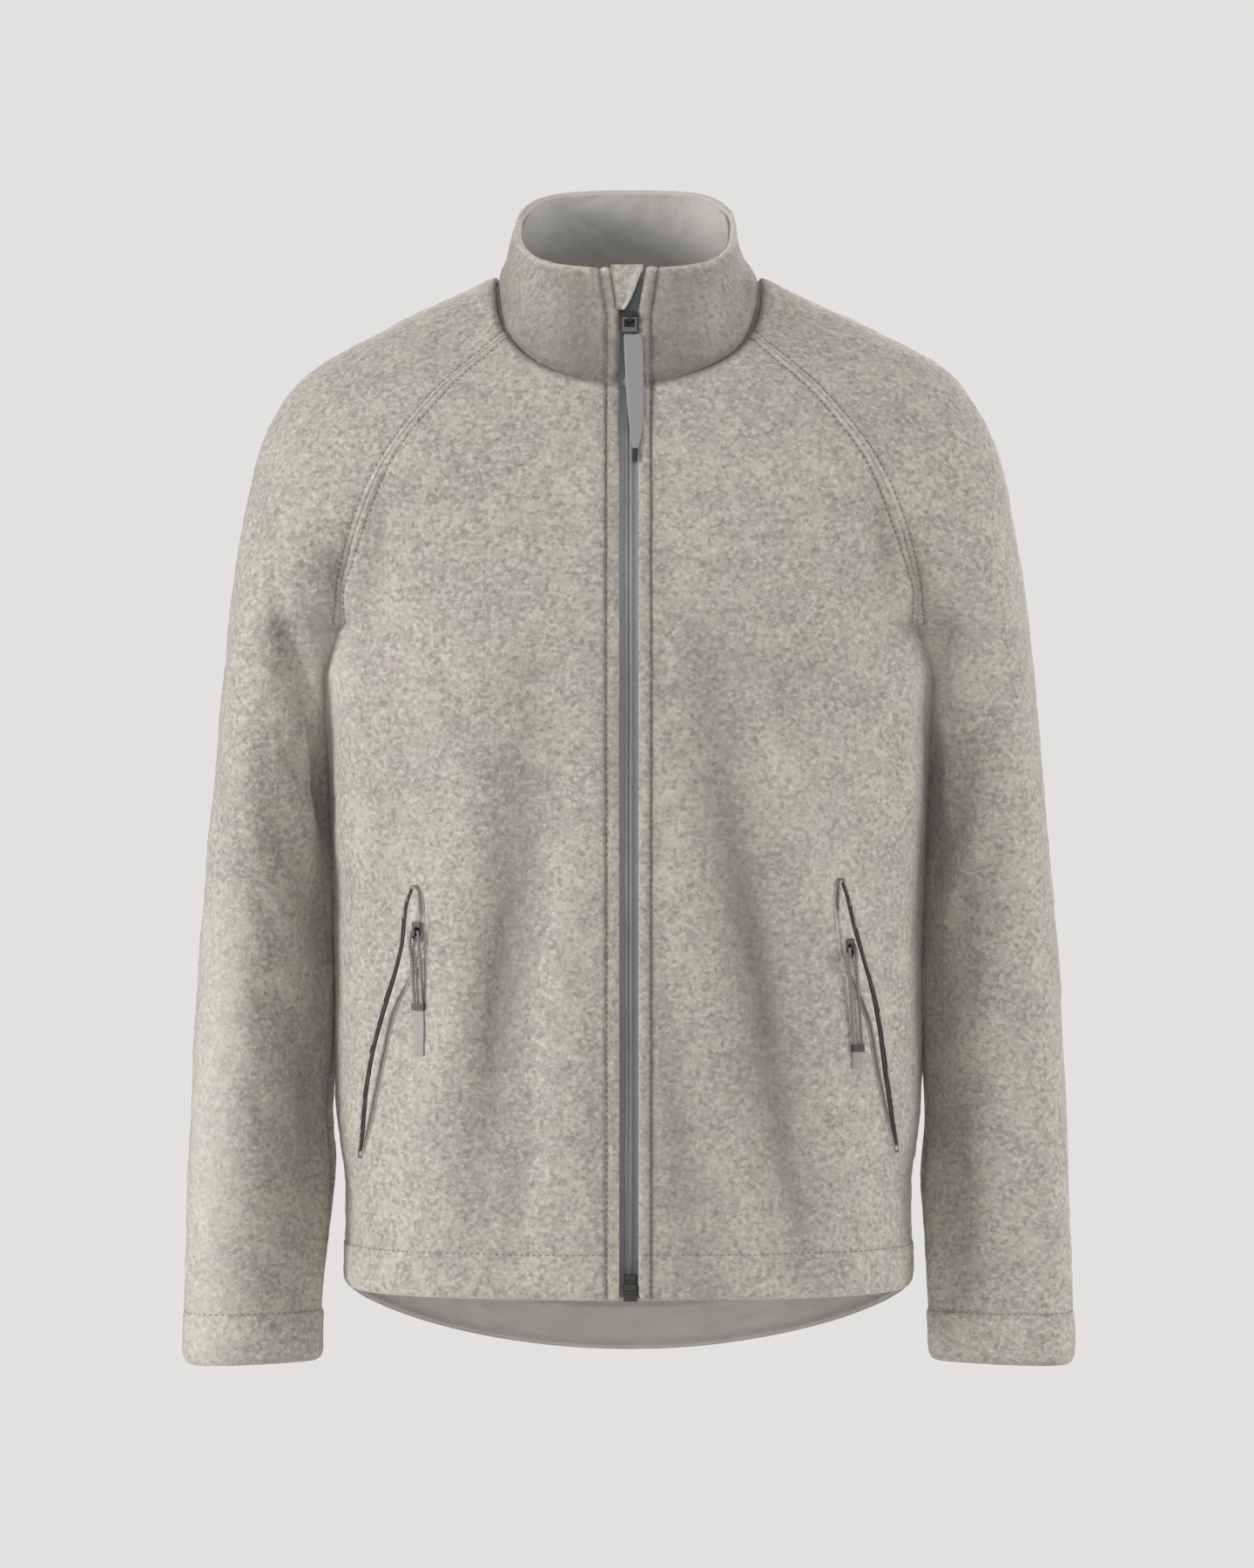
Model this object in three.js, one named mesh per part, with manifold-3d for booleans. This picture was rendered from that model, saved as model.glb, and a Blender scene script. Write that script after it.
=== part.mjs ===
// A fleece jacket with a stand collar, raglan sleeves and a full front zip, hollow and hanging as it does when worn.
// Millimetres. +X is the wearer's left, +Y the back, +Z up. The origin lies in the middle of the shoulders.
import * as THREE from "three";
import Module from "manifold-3d";

// Driving dimensions
const FLEECE = 3;
const HEM_FLEECE = 5.6; // the hem is turned up once
const SEAM_GAP = 0.36;
const BODY_TURN_UP = 31; // from the hem's edge to its stitching
const CUFF_TURN_UP = 35;
const HEM_SWELL = 1.5;
const ZIP_GAP_HALF = 6.3; // from the centre line to each front's edge
const COLLAR_HALF_WIDTH = 75.5;
const COLLAR_FRONT_DEPTH = 78;
const COLLAR_BACK_DEPTH = 72;
const COLLAR_FRONT_TOP = 17;
const COLLAR_BACK_TOP = 84;
const COLLAR_LEAN = -3; // the collar stands a little to the right

// A table is a list of rows with named columns, read at any place along its first column.
const table = (columns, ...rows) =>
  rows.map((row) => Object.fromEntries(columns.split(" ").map((name, i) => [name, row[i]])));

// The seams on the left side: each row of the body meets the side seam (0 at the hem to 1 at the underarm), then the
// raglan seams (to 2 at the neck).
const SIDE_SEAM = table(
  "at x y z",
  [0, 195, 8, -678],
  [0.35, 195, 9, -520],
  [0.7, 195.5, 10, -362],
  [1, 196, 12, -226],
);
const FRONT_RAGLAN = table(
  "at x y z",
  [1, 196, 12, -226],
  [1.15, 196, -34, -206],
  [1.3, 190, -66, -180],
  [1.45, 180, -88, -150],
  [1.6, 165, -96, -117],
  [1.8, 130, -85, -70],
  [2, 83.3, -54.4, -26.6],
);
const BACK_RAGLAN = table(
  "at x y z",
  [1, 196, 12, -226],
  [1.15, 195, 60, -205],
  [1.3, 187, 94, -178],
  [1.45, 173, 110, -146],
  [1.6, 154, 113, -110],
  [1.8, 116, 99, -53],
  [2, 70, 66, 10],
);
// The panels' rows: where each starts on the centre line, its handles there (reach) and at the seam (hold), and its
// direction at the seam (turn, climb).
const FRONT = table(
  "at centreY centreZ reach hold turn climb",
  [0, -127, -678, 132, 92, 90, 0],
  [0.35, -130, -520, 132, 92, 90, 0],
  [0.7, -134, -365, 130, 94, 90, 0],
  [1, -133, -224, 125, 98, 90, 0],
  [1.15, -129, -196, 112, 62, 80, 0],
  [1.3, -123, -168, 100, 50, 55, 0],
  [1.45, -117, -141, 90, 45, 32, 0],
  [1.6, -111, -115, 78, 42, 24, 6],
  [1.8, -104, -85, 58, 38, 34, 18],
  [2, -98, -62, 42, 38, 68, 32],
);
const BACK = table(
  "at centreY centreZ reach hold turn climb",
  [0, 138, -735, 108, 76, -90, 15],
  [0.35, 128, -545, 112, 74, -90, 7],
  [0.7, 128, -370, 112, 74, -90, 3],
  [1, 138, -226, 112, 82, -90, 0],
  [1.15, 139, -186, 105, 50, -80, 0],
  [1.3, 137, -150, 98, 42, -55, 0],
  [1.45, 132, -114, 88, 40, -36, 0],
  [1.6, 124, -78, 75, 38, -28, 5],
  [1.8, 107, -36, 52, 34, -32, 12],
  [2, 88, 8, 34, 30, -45, 4],
);
// The sleeve's rings below the underarm: the outer and inner lines, and how far the ring swells to front and back.
const SLEEVE = table(
  "at outX outZ inX inZ leftIn y front back",
  [0, 304.5, -729, 210.5, -727, -4.5, -24, 34, 34],
  [0.08, 304.5, -688, 210, -688, -5, -21, 38, 38],
  [0.18, 303, -625, 203.5, -625, -2, -14, 45, 46],
  [0.28, 301.5, -572, 199, -572, 0, -8, 51, 52],
  [0.5, 295.5, -450, 198.5, -450, 0, 2, 60, 63],
  [0.75, 284.5, -315, 198.5, -320, 0, 10, 67, 74],
  [1, 275.5, -226, 196.4, -226, 0, 12, 72, 80],
);
// The sleeve above the underarm: its outer line over the shoulder, and the handles at the seams and at that line.
const SHOULDER = table(
  "at x y z climb frontTurn backTurn frontHold backHold frontSwell backSwell",
  [1, 275.5, 12, -226, 0, -90, 90, 58, 64, 135, 150],
  [1.15, 270, 11, -180, 0, -78, 78, 50, 52, 112, 120],
  [1.3, 261, 9, -129, 0, -42, 45, 48, 48, 88, 92],
  [1.45, 248, 6, -88, 0, -2, 2, 50, 48, 68, 70],
  [1.6, 223, 3, -52.5, 2, 20, -20, 46, 44, 54, 58],
  [1.8, 165, 0, -18.5, 8, 34, -30, 34, 34, 38, 42],
  [2, 92, -2, 14.5, 18, 68, -45, 24, 30, 24, 30],
);
// Soft troughs (a depth over 0) and ridges (under 0) in the fronts: from one point to another, in the front view.
const FRONT_FOLDS = table(
  "side x0 z0 x1 z1 width depth",
  [-1, 76, -270, 118, -650, 19, 6.5],
  [-1, 110, -420, 150, -600, 20, -3],
  [-1, 44, -430, 62, -640, 15, -3.5],
  [-1, 176, -215, 160, -130, 13, 3.5],
  [1, 52, -215, 140, -650, 19, 6.5],
  [1, 62, -380, 82, -640, 16, -3.5],
  [1, 126, -300, 168, -560, 18, -3],
  [1, 178, -215, 162, -130, 13, 3.5],
);
const BACK_FOLDS = table(
  "side x0 z0 x1 z1 width depth",
  [-1, 70, -330, 104, -690, 24, 6],
  [-1, 20, -420, 34, -700, 20, -4],
  [1, 52, -300, 92, -680, 24, 6],
  [1, 150, -160, 120, -330, 20, 4],
  [-1, 148, -170, 118, -340, 20, 4],
);
// Creases round the sleeves: the height of each on the inner and outer line, where it is deepest round the ring
// (0 to 1, from the underarm over the front), and its width along the sleeve.
const SLEEVE_FOLDS = table(
  "side inZ outZ deepest spread width depth",
  [-1, -300, -400, 0.2, 0.17, 27, 6],
  [-1, -420, -510, 0.22, 0.16, 27, 5],
  [-1, -560, -610, 0.24, 0.16, 30, 4],
  [-1, -400, -330, 0.75, 0.18, 27, 5],
  [1, -290, -385, 0.2, 0.17, 27, 5.5],
  [1, -400, -500, 0.2, 0.18, 28, 6],
  [1, -575, -615, 0.24, 0.16, 30, 4],
  [1, -430, -360, 0.75, 0.18, 27, 5],
);
// The pocket zips in the front view: at each height, how far out each edge of the band lies.
const RIGHT_POCKET = table(
  "z outer inner",
  [-401, 146.5, 141.5],
  [-406, 149, 138],
  [-418, 152.5, 137],
  [-437, 154.5, 136.5],
  [-459, 159.5, 143],
  [-487, 168, 156.5],
  [-517, 176, 163.5],
  [-542, 180, 169],
  [-568, 182.5, 174.5],
  [-587, 184, 181],
);
const LEFT_POCKET = table(
  "z outer inner",
  [-396, 144, 140],
  [-401, 146.5, 138],
  [-413, 150, 137.5],
  [-431, 154.5, 139],
  [-449, 160, 142],
  [-472, 166.5, 151.5],
  [-497, 171.5, 160.5],
  [-522, 175, 165],
  [-550, 179, 171],
  [-583, 183.5, 180.5],
);

// Rows of each grid: stations from hem to underarm and from underarm to neck are shared, so seams meet point to point.
const BODY_MM = 452; // the side seam's length
const SLEEVE_MM = 503;
const hemStations = (turnUp, length) => [0, 2.2, turnUp / 2, turnUp - 3, turnUp, turnUp + 4].map((mm) => mm / length);
const spread = (from, to, steps) => Array.from({ length: steps + 1 }, (_, i) => from + ((to - from) * i) / steps);
const YOKE = spread(1, 2, 11).slice(1);
const BODY_ROWS = [...hemStations(BODY_TURN_UP, BODY_MM), ...spread(0.14, 1, 11), ...YOKE];
const SLEEVE_ROWS = [...hemStations(CUFF_TURN_UP, SLEEVE_MM), ...spread(0.13, 1, 17), ...YOKE];

const vector = (x, y, z) => new THREE.Vector3(x, y, z);
const radians = (degrees) => (degrees * Math.PI) / 180;

// A column's value at a place, on a smooth curve through the rows that never overshoots them.
function read(rows, at, name) {
  const last = rows.length - 1;
  let i = 0;
  while (i < last - 1 && at > rows[i + 1].at) i++;
  const rise = (k) => (rows[k + 1][name] - rows[k][name]) / (rows[k + 1].at - rows[k].at);
  const slope = (k) => {
    if (k === 0) return rise(0);
    if (k === last) return rise(last - 1);
    const [a, b] = [rise(k - 1), rise(k)];
    return a * b <= 0 ? 0 : (2 * a * b) / (a + b);
  };
  const step = rows[i + 1].at - rows[i].at;
  const t = (at - rows[i].at) / step;
  const [h, k] = [t * t * (3 - 2 * t), t * (1 - t)];
  return (
    rows[i][name] * (1 - h) + rows[i + 1][name] * h + step * k * (slope(i) * (1 - t) - slope(i + 1) * t)
  );
}

// A direction that heads out to the side at turn 0, back at 90 and forward at -90, and rises by climb.
const heading = (turn, climb = 0) =>
  vector(
    Math.cos(radians(turn)) * Math.cos(radians(climb)),
    Math.sin(radians(turn)) * Math.cos(radians(climb)),
    Math.sin(radians(climb)),
  );

// The cubic curve from a to b that leaves along one handle and arrives against the other.
function curve(a, leave, arrive, b, t) {
  const [s, p, q] = [1 - t, a.clone().add(leave), b.clone().add(arrive)];
  return a
    .clone()
    .multiplyScalar(s * s * s)
    .addScaledVector(p, 3 * s * s * t)
    .addScaledVector(q, 3 * s * t * t)
    .addScaledVector(b, t * t * t);
}

const pointOf = (rows, at) => vector(read(rows, at, "x"), read(rows, at, "y"), read(rows, at, "z"));
function seamPoint(panel, at) {
  if (at <= 1) return pointOf(SIDE_SEAM, at);
  return pointOf(panel === FRONT ? FRONT_RAGLAN : BACK_RAGLAN, at);
}

// Half the seam's gap at a row of the raglan seam, pointing from the panel to the sleeve.
function seamStep(rows, at, sleeveTurn) {
  const out = heading(read(rows, at, "turn"), 0)
    .add(heading(sleeveTurn))
    .add(vector(0.05, 0, 0));
  return out.normalize().multiplyScalar(SEAM_GAP / 2);
}

// A half panel's outer surface: u runs from the centre to the edge, v up the rows.
function panelPoint(rows, u, v, centreX) {
  const outward = heading(read(rows, v, "turn"), read(rows, v, "climb"));
  const edge = seamPoint(rows, v);
  if (v > 1) edge.sub(seamStep(rows, v, read(SHOULDER, v, rows === FRONT ? "frontTurn" : "backTurn")));
  else edge.addScaledVector(outward, -SEAM_GAP / 2);
  const centre = vector(centreX, read(rows, v, "centreY"), read(rows, v, "centreZ"));
  return curve(
    centre,
    vector(read(rows, v, "reach") - centreX, 0, 0),
    outward.multiplyScalar(-read(rows, v, "hold")),
    edge,
    u,
  );
}

// The sleeve's outer surface: u runs from the underarm or front raglan seam, over the front and the outer line, to
// the back; v runs from the cuff to the neck.
function sleevePoint(side, u, v) {
  const front = u <= 0.5;
  const t = front ? u * 2 : 2 - u * 2;
  const way = front ? -1 : 1;
  if (v <= 1) {
    const y = read(SLEEVE, v, "y");
    const swell = read(SLEEVE, v, front ? "front" : "back") * way;
    return curve(
      vector(read(SLEEVE, v, "inX") + (side > 0 ? read(SLEEVE, v, "leftIn") : 0), y, read(SLEEVE, v, "inZ")),
      vector(0, swell * 0.8, 0),
      vector(0, swell * 1.87, 0),
      vector(read(SLEEVE, v, "outX"), y, read(SLEEVE, v, "outZ")),
      t,
    );
  }
  const rows = front ? FRONT : BACK;
  const turn = read(SHOULDER, v, front ? "frontTurn" : "backTurn");
  const seam = seamPoint(rows, v);
  seam.add(seamStep(rows, v, turn));
  const climb = read(SHOULDER, v, "climb") * -way;
  return curve(
    seam,
    heading(turn, read(rows, v, "climb")).multiplyScalar(read(SHOULDER, v, front ? "frontHold" : "backHold")),
    heading(90 * way, -climb).multiplyScalar(read(SHOULDER, v, front ? "frontSwell" : "backSwell")),
    pointOf(SHOULDER, v),
    t,
  );
}

// How far the outer face swells, and how thick the cloth is, at a distance from a turned-up edge.
function turnedEdge(mm, turnUp) {
  if (mm < 1) return { swell: 0, thick: HEM_FLEECE - 2.4 };
  if (mm < turnUp - 1) return { swell: HEM_SWELL, thick: HEM_FLEECE };
  if (mm < turnUp + 1) return { swell: -0.5, thick: FLEECE };
  return { swell: 0, thick: FLEECE };
}

// How deep the folds of a panel are at a point of it.
function foldDepth(folds, side, point) {
  let depth = 0;
  for (const fold of folds.filter((f) => f.side === side)) {
    const along = (point.z - fold.z0) / (fold.z1 - fold.z0);
    if (along <= -0.15 || along >= 1.15) continue;
    const middle = fold.x0 + (fold.x1 - fold.x0) * along;
    const fade = Math.sin((Math.PI * (along + 0.15)) / 1.3) ** 1.3;
    depth += fold.depth * fade * Math.exp(-(((point.x - middle) / fold.width) ** 2));
  }
  return depth;
}

function sleeveFoldDepth(side, u, point) {
  let depth = 0;
  for (const fold of SLEEVE_FOLDS.filter((f) => f.side === side)) {
    const share = Math.min(1, Math.max(0, (point.x - 198) / 90));
    const height = fold.inZ + (fold.outZ - fold.inZ) * share;
    const round = Math.exp(-(((u - fold.deepest) / fold.spread) ** 2));
    depth += fold.depth * round * Math.exp(-(((point.z - height) / fold.width) ** 2));
  }
  return depth;
}

// The outward normal of a surface, which turns right-handed from u to v.
function normalAt(surface, u, v) {
  const [du, dv] = [1e-4, 1e-4];
  const across = surface(Math.min(1, u + du), v).sub(surface(Math.max(0, u - du), v));
  const up = surface(u, Math.min(2, v + dv)).sub(surface(u, Math.max(0, v - dv)));
  return across.cross(up).normalize();
}

// A closed wall from two grids of points. joined(j) tells whether row j closes on itself round a tube.
function wallGeometry(outer, inner, joined = () => false) {
  const [rows, columns] = [outer.length, outer[0].length];
  const points = [];
  const place = [outer, inner].map((grid) =>
    grid.map((row, j) =>
      row.map((p, i) => {
        if (i === columns - 1 && joined(j)) return null;
        return points.push(p) - 1;
      }),
    ),
  );
  const index = (layer, j, i) => place[layer][j][i] ?? place[layer][j][0];
  const faces = [];
  const quad = (a, b, c, d) => {
    const short = points[a].distanceTo(points[c]) <= points[b].distanceTo(points[d]);
    if (short) faces.push([a, b, c], [a, c, d]);
    else faces.push([a, b, d], [b, c, d]);
  };
  for (let j = 0; j < rows - 1; j++)
    for (let i = 0; i < columns - 1; i++) {
      const corner = (layer) => [
        index(layer, j, i),
        index(layer, j, i + 1),
        index(layer, j + 1, i + 1),
        index(layer, j + 1, i),
      ];
      quad(...corner(0));
      quad(...corner(1).reverse());
    }
  for (let i = 0; i < columns - 1; i++) {
    quad(index(1, 0, i), index(1, 0, i + 1), index(0, 0, i + 1), index(0, 0, i));
    quad(index(0, rows - 1, i), index(0, rows - 1, i + 1), index(1, rows - 1, i + 1), index(1, rows - 1, i));
  }
  for (let j = 0; j < rows - 1; j++) {
    if (joined(j) && joined(j + 1)) continue;
    quad(index(0, j, 0), index(0, j + 1, 0), index(1, j + 1, 0), index(1, j, 0));
    const end = columns - 1;
    quad(index(1, j, end), index(1, j + 1, end), index(0, j + 1, end), index(0, j, end));
  }
  const used = faces.filter(([a, b, c]) => a !== b && b !== c && a !== c);
  return new THREE.BufferGeometry()
    .setAttribute("position", new THREE.Float32BufferAttribute(points.flatMap((p) => p.toArray()), 3))
    .setIndex(used.flat());
}

// The same geometry on the other side of the body, with its faces turned to point outwards again.
function mirrored(geometry) {
  const made = geometry.clone().applyMatrix4(new THREE.Matrix4().makeScale(-1, 1, 1));
  const index = [...made.index.array];
  for (let i = 0; i < index.length; i += 3) [index[i + 1], index[i + 2]] = [index[i + 2], index[i + 1]];
  return made.setIndex(index);
}

const fleece = new THREE.MeshStandardMaterial({ color: 0xb4b1a5, roughness: 0.95 });
const tape = new THREE.MeshStandardMaterial({ color: 0x86898b, roughness: 0.7 });
const darkMetal = new THREE.MeshStandardMaterial({ color: 0x3b3935, roughness: 0.45, metalness: 0.8 });
const grip = new THREE.MeshStandardMaterial({ color: 0x9a9a97, roughness: 0.6 });

const jacket = new THREE.Group();
function add(name, geometry, material, parent = jacket) {
  const mesh = new THREE.Mesh(geometry, material);
  mesh.name = name;
  parent.add(mesh);
  return mesh;
}

// Fronts. The columns beside the zip hold the stitched edge.
const PLACKET_COLUMNS_MM = [0, 7, 8.7, 10.4];
const FRONT_WIDTH_MM = 250;
const FRONT_COLUMNS = [
  ...PLACKET_COLUMNS_MM.map((mm) => mm / FRONT_WIDTH_MM),
  ...spread(0.1, 1, 12),
];
const NECK_TRIM = 0.001; // keeps the panels' top rows clear of the collar
const STITCH_DENT = 0.9;

const frontSurface = (u, v) => panelPoint(FRONT, u, Math.min(v, 2 - NECK_TRIM), ZIP_GAP_HALF);

const FRONT_FACES = {}; // each front's outer grid, by side
function frontGeometry(side) {
  const [outer, inner] = [[], []];
  for (const v of BODY_ROWS) {
    const edge = turnedEdge(v * BODY_MM, BODY_TURN_UP);
    const [outerRow, innerRow] = [[], []];
    for (const u of FRONT_COLUMNS) {
      const base = frontSurface(u, v);
      const normal = normalAt(frontSurface, u, v);
      const dent = u === FRONT_COLUMNS[2] && v > 0 ? STITCH_DENT : 0;
      const lift = edge.swell - foldDepth(FRONT_FOLDS, side, base) - dent;
      outerRow.push(base.clone().addScaledVector(normal, lift));
      innerRow.push(base.clone().addScaledVector(normal, lift + dent - edge.thick));
    }
    outer.push(outerRow);
    inner.push(innerRow);
  }
  FRONT_FACES[side] = outer;
  return wallGeometry(outer, inner);
}
add("front_left", frontGeometry(1), fleece);
add("front_right", mirrored(frontGeometry(-1)), fleece);

// The back is one piece: both halves of each row, from the right side seam to the left.
const backSurface = (u, v) => {
  const half = Math.abs(u * 2 - 1);
  const point = panelPoint(BACK, half, Math.min(v, 2 - NECK_TRIM), 0);
  return u < 0.5 ? point.multiply(vector(-1, 1, 1)) : point;
};

function backGeometry() {
  const [outer, inner] = [[], []];
  for (const v of BODY_ROWS) {
    const edge = turnedEdge(v * BODY_MM, BODY_TURN_UP);
    const [outerRow, innerRow] = [[], []];
    for (const u of spread(0, 1, 24).reverse()) {
      const base = backSurface(u, v);
      const normal = normalAt((s, t) => backSurface(1 - s, t), 1 - u, v);
      const side = u < 0.5 ? -1 : 1;
      const lift = edge.swell - foldDepth(BACK_FOLDS, side, base.clone().multiply(vector(side, 1, 1)));
      outerRow.push(base.clone().addScaledVector(normal, lift));
      innerRow.push(base.clone().addScaledVector(normal, lift - edge.thick));
    }
    outer.push(outerRow);
    inner.push(innerRow);
  }
  return wallGeometry(outer, inner);
}
add("back", backGeometry(), fleece);

// Sleeves: a closed tube up to the underarm, open above it, where it runs between the two raglan seams to the neck.
const SLEEVE_COLUMNS = 20;

function sleeveGeometry(side) {
  const surface = (u, v) => sleevePoint(side, u, Math.min(v, 2 - NECK_TRIM));
  const [outer, inner] = [[], []];
  for (const v of SLEEVE_ROWS) {
    const edge = turnedEdge(v * SLEEVE_MM, CUFF_TURN_UP);
    const [outerRow, innerRow] = [[], []];
    for (const u of spread(0, 1, SLEEVE_COLUMNS)) {
      const base = surface(u, v);
      const closed = v <= 1 && (u === 0 || u === 1);
      const normal = closed ? vector(-1, 0, 0) : normalAt(surface, u, v);
      const lift = edge.swell - sleeveFoldDepth(side, u, base);
      outerRow.push(base.clone().addScaledVector(normal, lift));
      innerRow.push(base.clone().addScaledVector(normal, lift - edge.thick));
    }
    outer.push(outerRow);
    inner.push(innerRow);
  }
  return wallGeometry(outer, inner, (j) => SLEEVE_ROWS[j] <= 1);
}
add("sleeve_left", sleeveGeometry(1), fleece);
add("sleeve_right", mirrored(sleeveGeometry(-1)), fleece);

// The neck seam, from the zip (0) past the raglan seams to the middle of the back (1), on the left side.
const NECK_FRONT_SHARE = 0.36;
const NECK_SLEEVE_SHARE = 0.34;
function neckPoint(s) {
  if (s <= NECK_FRONT_SHARE) return panelPoint(FRONT, s / NECK_FRONT_SHARE, 2, ZIP_GAP_HALF);
  const past = (s - NECK_FRONT_SHARE) / NECK_SLEEVE_SHARE;
  if (past <= 1) return sleevePoint(1, past, 2);
  return panelPoint(BACK, 1 - (past - 1) / ((1 - NECK_FRONT_SHARE - NECK_SLEEVE_SHARE) / NECK_SLEEVE_SHARE), 2, 0);
}

// The collar's top edge at a point whose angle round the neck is given, 0 at the front and 180 at the back.
const FRONT_SQUARENESS = 2.8;
const BACK_SQUARENESS = 3.2;
function collarTop(angle) {
  const [s, c] = [Math.sin(angle), Math.cos(angle)];
  const power = 2 / (c > 0 ? FRONT_SQUARENESS : BACK_SQUARENESS);
  const depth = c > 0 ? COLLAR_FRONT_DEPTH : COLLAR_BACK_DEPTH;
  const y = -Math.sign(c) * depth * Math.abs(c) ** power;
  const tilt = (COLLAR_BACK_TOP - COLLAR_FRONT_TOP) / (COLLAR_FRONT_DEPTH + COLLAR_BACK_DEPTH);
  const level = COLLAR_FRONT_TOP + COLLAR_FRONT_DEPTH * tilt;
  return vector(COLLAR_HALF_WIDTH * Math.abs(s) ** power, y, level + y * tilt);
}

// The collar's outer surface, from the zip on the left (0) round the back to the zip on the right (1). At the sides it
// turns in quickly above the neck seam; in front it bulges.
const COLLAR_FORM = table(
  "at side front thick",
  [0, 0, 0, 5.4],
  [0.12, 0.3, -0.02, 6],
  [0.3, 0.58, 0.1, 6],
  [0.55, 0.77, 0.42, 6],
  [0.8, 0.9, 0.77, 6],
  [0.95, 0.98, 0.96, 5.6],
  [1, 1.08, 1.07, 3],
);
const COLLAR_COLUMNS = 44;
const GARAGE_SPREAD = 5; // how much wider the collar's opening is at the top, for the zip garage
function collarPoint(u, v) {
  const side = u < 0.5 ? 1 : -1;
  const s = 1 - Math.abs(u * 2 - 1);
  const foot = neckPoint(s).multiply(vector(0.997, 1, 1)).add(vector(0, 0, 0.5));
  const opening = ZIP_GAP_HALF + GARAGE_SPREAD;
  const start = Math.asin((opening / COLLAR_HALF_WIDTH) ** (FRONT_SQUARENESS / 2));
  const top = collarTop(start + (Math.PI - start) * s);
  const aside = Math.sin(Math.PI * s) ** 1.5;
  const inward = read(COLLAR_FORM, v, "side") * aside + read(COLLAR_FORM, v, "front") * (1 - aside);
  const point = vector(
    foot.x + (top.x - foot.x) * inward,
    foot.y + (top.y - foot.y) * inward,
    foot.z + (top.z - foot.z) * v,
  );
  const straight = ZIP_GAP_HALF + (opening - ZIP_GAP_HALF) * read(COLLAR_FORM, v, "front");
  const wanted = ZIP_GAP_HALF + GARAGE_SPREAD * Math.max(0, (v - 0.6) / 0.4);
  if (s < 0.1) point.x += (wanted - straight) * (1 - s / 0.1);
  point.x = s === 1 ? 0 : point.x * side;
  point.x += COLLAR_LEAN * Math.sin(Math.PI * Math.min(1, v * 0.8)) * aside;
  return point;
}

function collarGeometry() {
  const [outer, inner] = [[], []];
  for (const { at, thick } of COLLAR_FORM) {
    const v = Math.max(at, 0.004);
    const [outerRow, innerRow] = [[], []];
    for (const u of spread(0, 1, COLLAR_COLUMNS)) {
      const base = collarPoint(u, v);
      const normal = normalAt(collarPoint, Math.min(0.9999, Math.max(0.0001, u)), Math.min(v, 0.94));
      const nearZip = Math.min(1, Math.max(0, (0.954 - Math.abs(u * 2 - 1)) / 0.06));
      outerRow.push(base.clone());
      innerRow.push(base.clone().addScaledVector(normal, -(FLEECE + (thick - FLEECE) * nearZip)));
    }
    outer.push(outerRow);
    inner.push(innerRow);
  }
  return wallGeometry(outer, inner);
}
add("collar", collarGeometry(), fleece);

// The line both fronts and the collar follow beside the zip, from the hem up.
const CENTRE_LINE = [
  ...BODY_ROWS.map((v) => frontSurface(0, v)),
  ...COLLAR_FORM.map(({ at }) => collarPoint(0, Math.max(at, 0.004))),
];
function centreY(z) {
  const above = Math.max(1, CENTRE_LINE.findIndex((p) => p.z >= z));
  const [a, b] = [CENTRE_LINE[above - 1], CENTRE_LINE[above]];
  return a.y + ((b.y - a.y) * (z - a.z)) / (b.z - a.z);
}

// The zip's two tapes, each with half of the coil along its inner edge, behind the fronts and the collar.
const TAPE = table(
  "x front back",
  [0.3, 0, 1],
  [0.9, 1, 1.6],
  [2.4, 1, 1.6],
  [3.2, 0, 1],
  [12.6, 0, 1],
);
const TAPE_DEPTH = 4.1;
const HEM_TAPE_DEPTH = 5;
const TAPE_FOOT = 2;
const TAPE_TOP = 8;

function tapeGeometry() {
  const heights = CENTRE_LINE.map((p) => p.z).filter((z) => z > -676 && z < TAPE_TOP - 3);
  const rows = [CENTRE_LINE[0].z + TAPE_FOOT, ...heights.slice(1), TAPE_TOP];
  const depth = (z) => (z < -640 ? HEM_TAPE_DEPTH : TAPE_DEPTH);
  const layer = (name, sign) =>
    rows.map((z) => TAPE.map((column) => vector(column.x, centreY(z) + depth(z) + sign * column[name], z)));
  return wallGeometry(layer("front", -1), layer("back", 1));
}
add("zip_tape_left", tapeGeometry(), tape);
add("zip_tape_right", mirrored(tapeGeometry()), tape);

// The garage: a folded flap in the collar's opening that covers the top of the zip.
const GARAGE = table(
  "z left right",
  [-12.5, -5.8, 1.7],
  [-8, -6.3, 4.2],
  [0, -7.5, 6.4],
  [9, -9, 8.2],
  [17, -10.3, 9.4],
  [19, -10.2, 9.2],
);
const GARAGE_COLUMNS = table("share lift", [0, -0.5], [0.2, 0], [0.68, -0.2], [0.86, 0.9], [1, 0.2]);
const GARAGE_THICK = 2.2;
function garageGeometry() {
  const place = (row, { share, lift }) => {
    const top = row.z > 17 ? 1.4 : 0;
    return vector(row.left + (row.right - row.left) * share, centreY(Math.min(row.z, 16)) - 0.3 - lift + top, row.z);
  };
  const outer = GARAGE.map((row) => GARAGE_COLUMNS.map((column) => place(row, column)));
  const inner = GARAGE.map((row) =>
    GARAGE_COLUMNS.map((column) => place(row, { share: column.share, lift: -GARAGE_THICK + (row.z > 17 ? 1.3 : 0) })),
  );
  return wallGeometry(outer, inner);
}
add("zip_garage", garageGeometry(), fleece);

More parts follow.
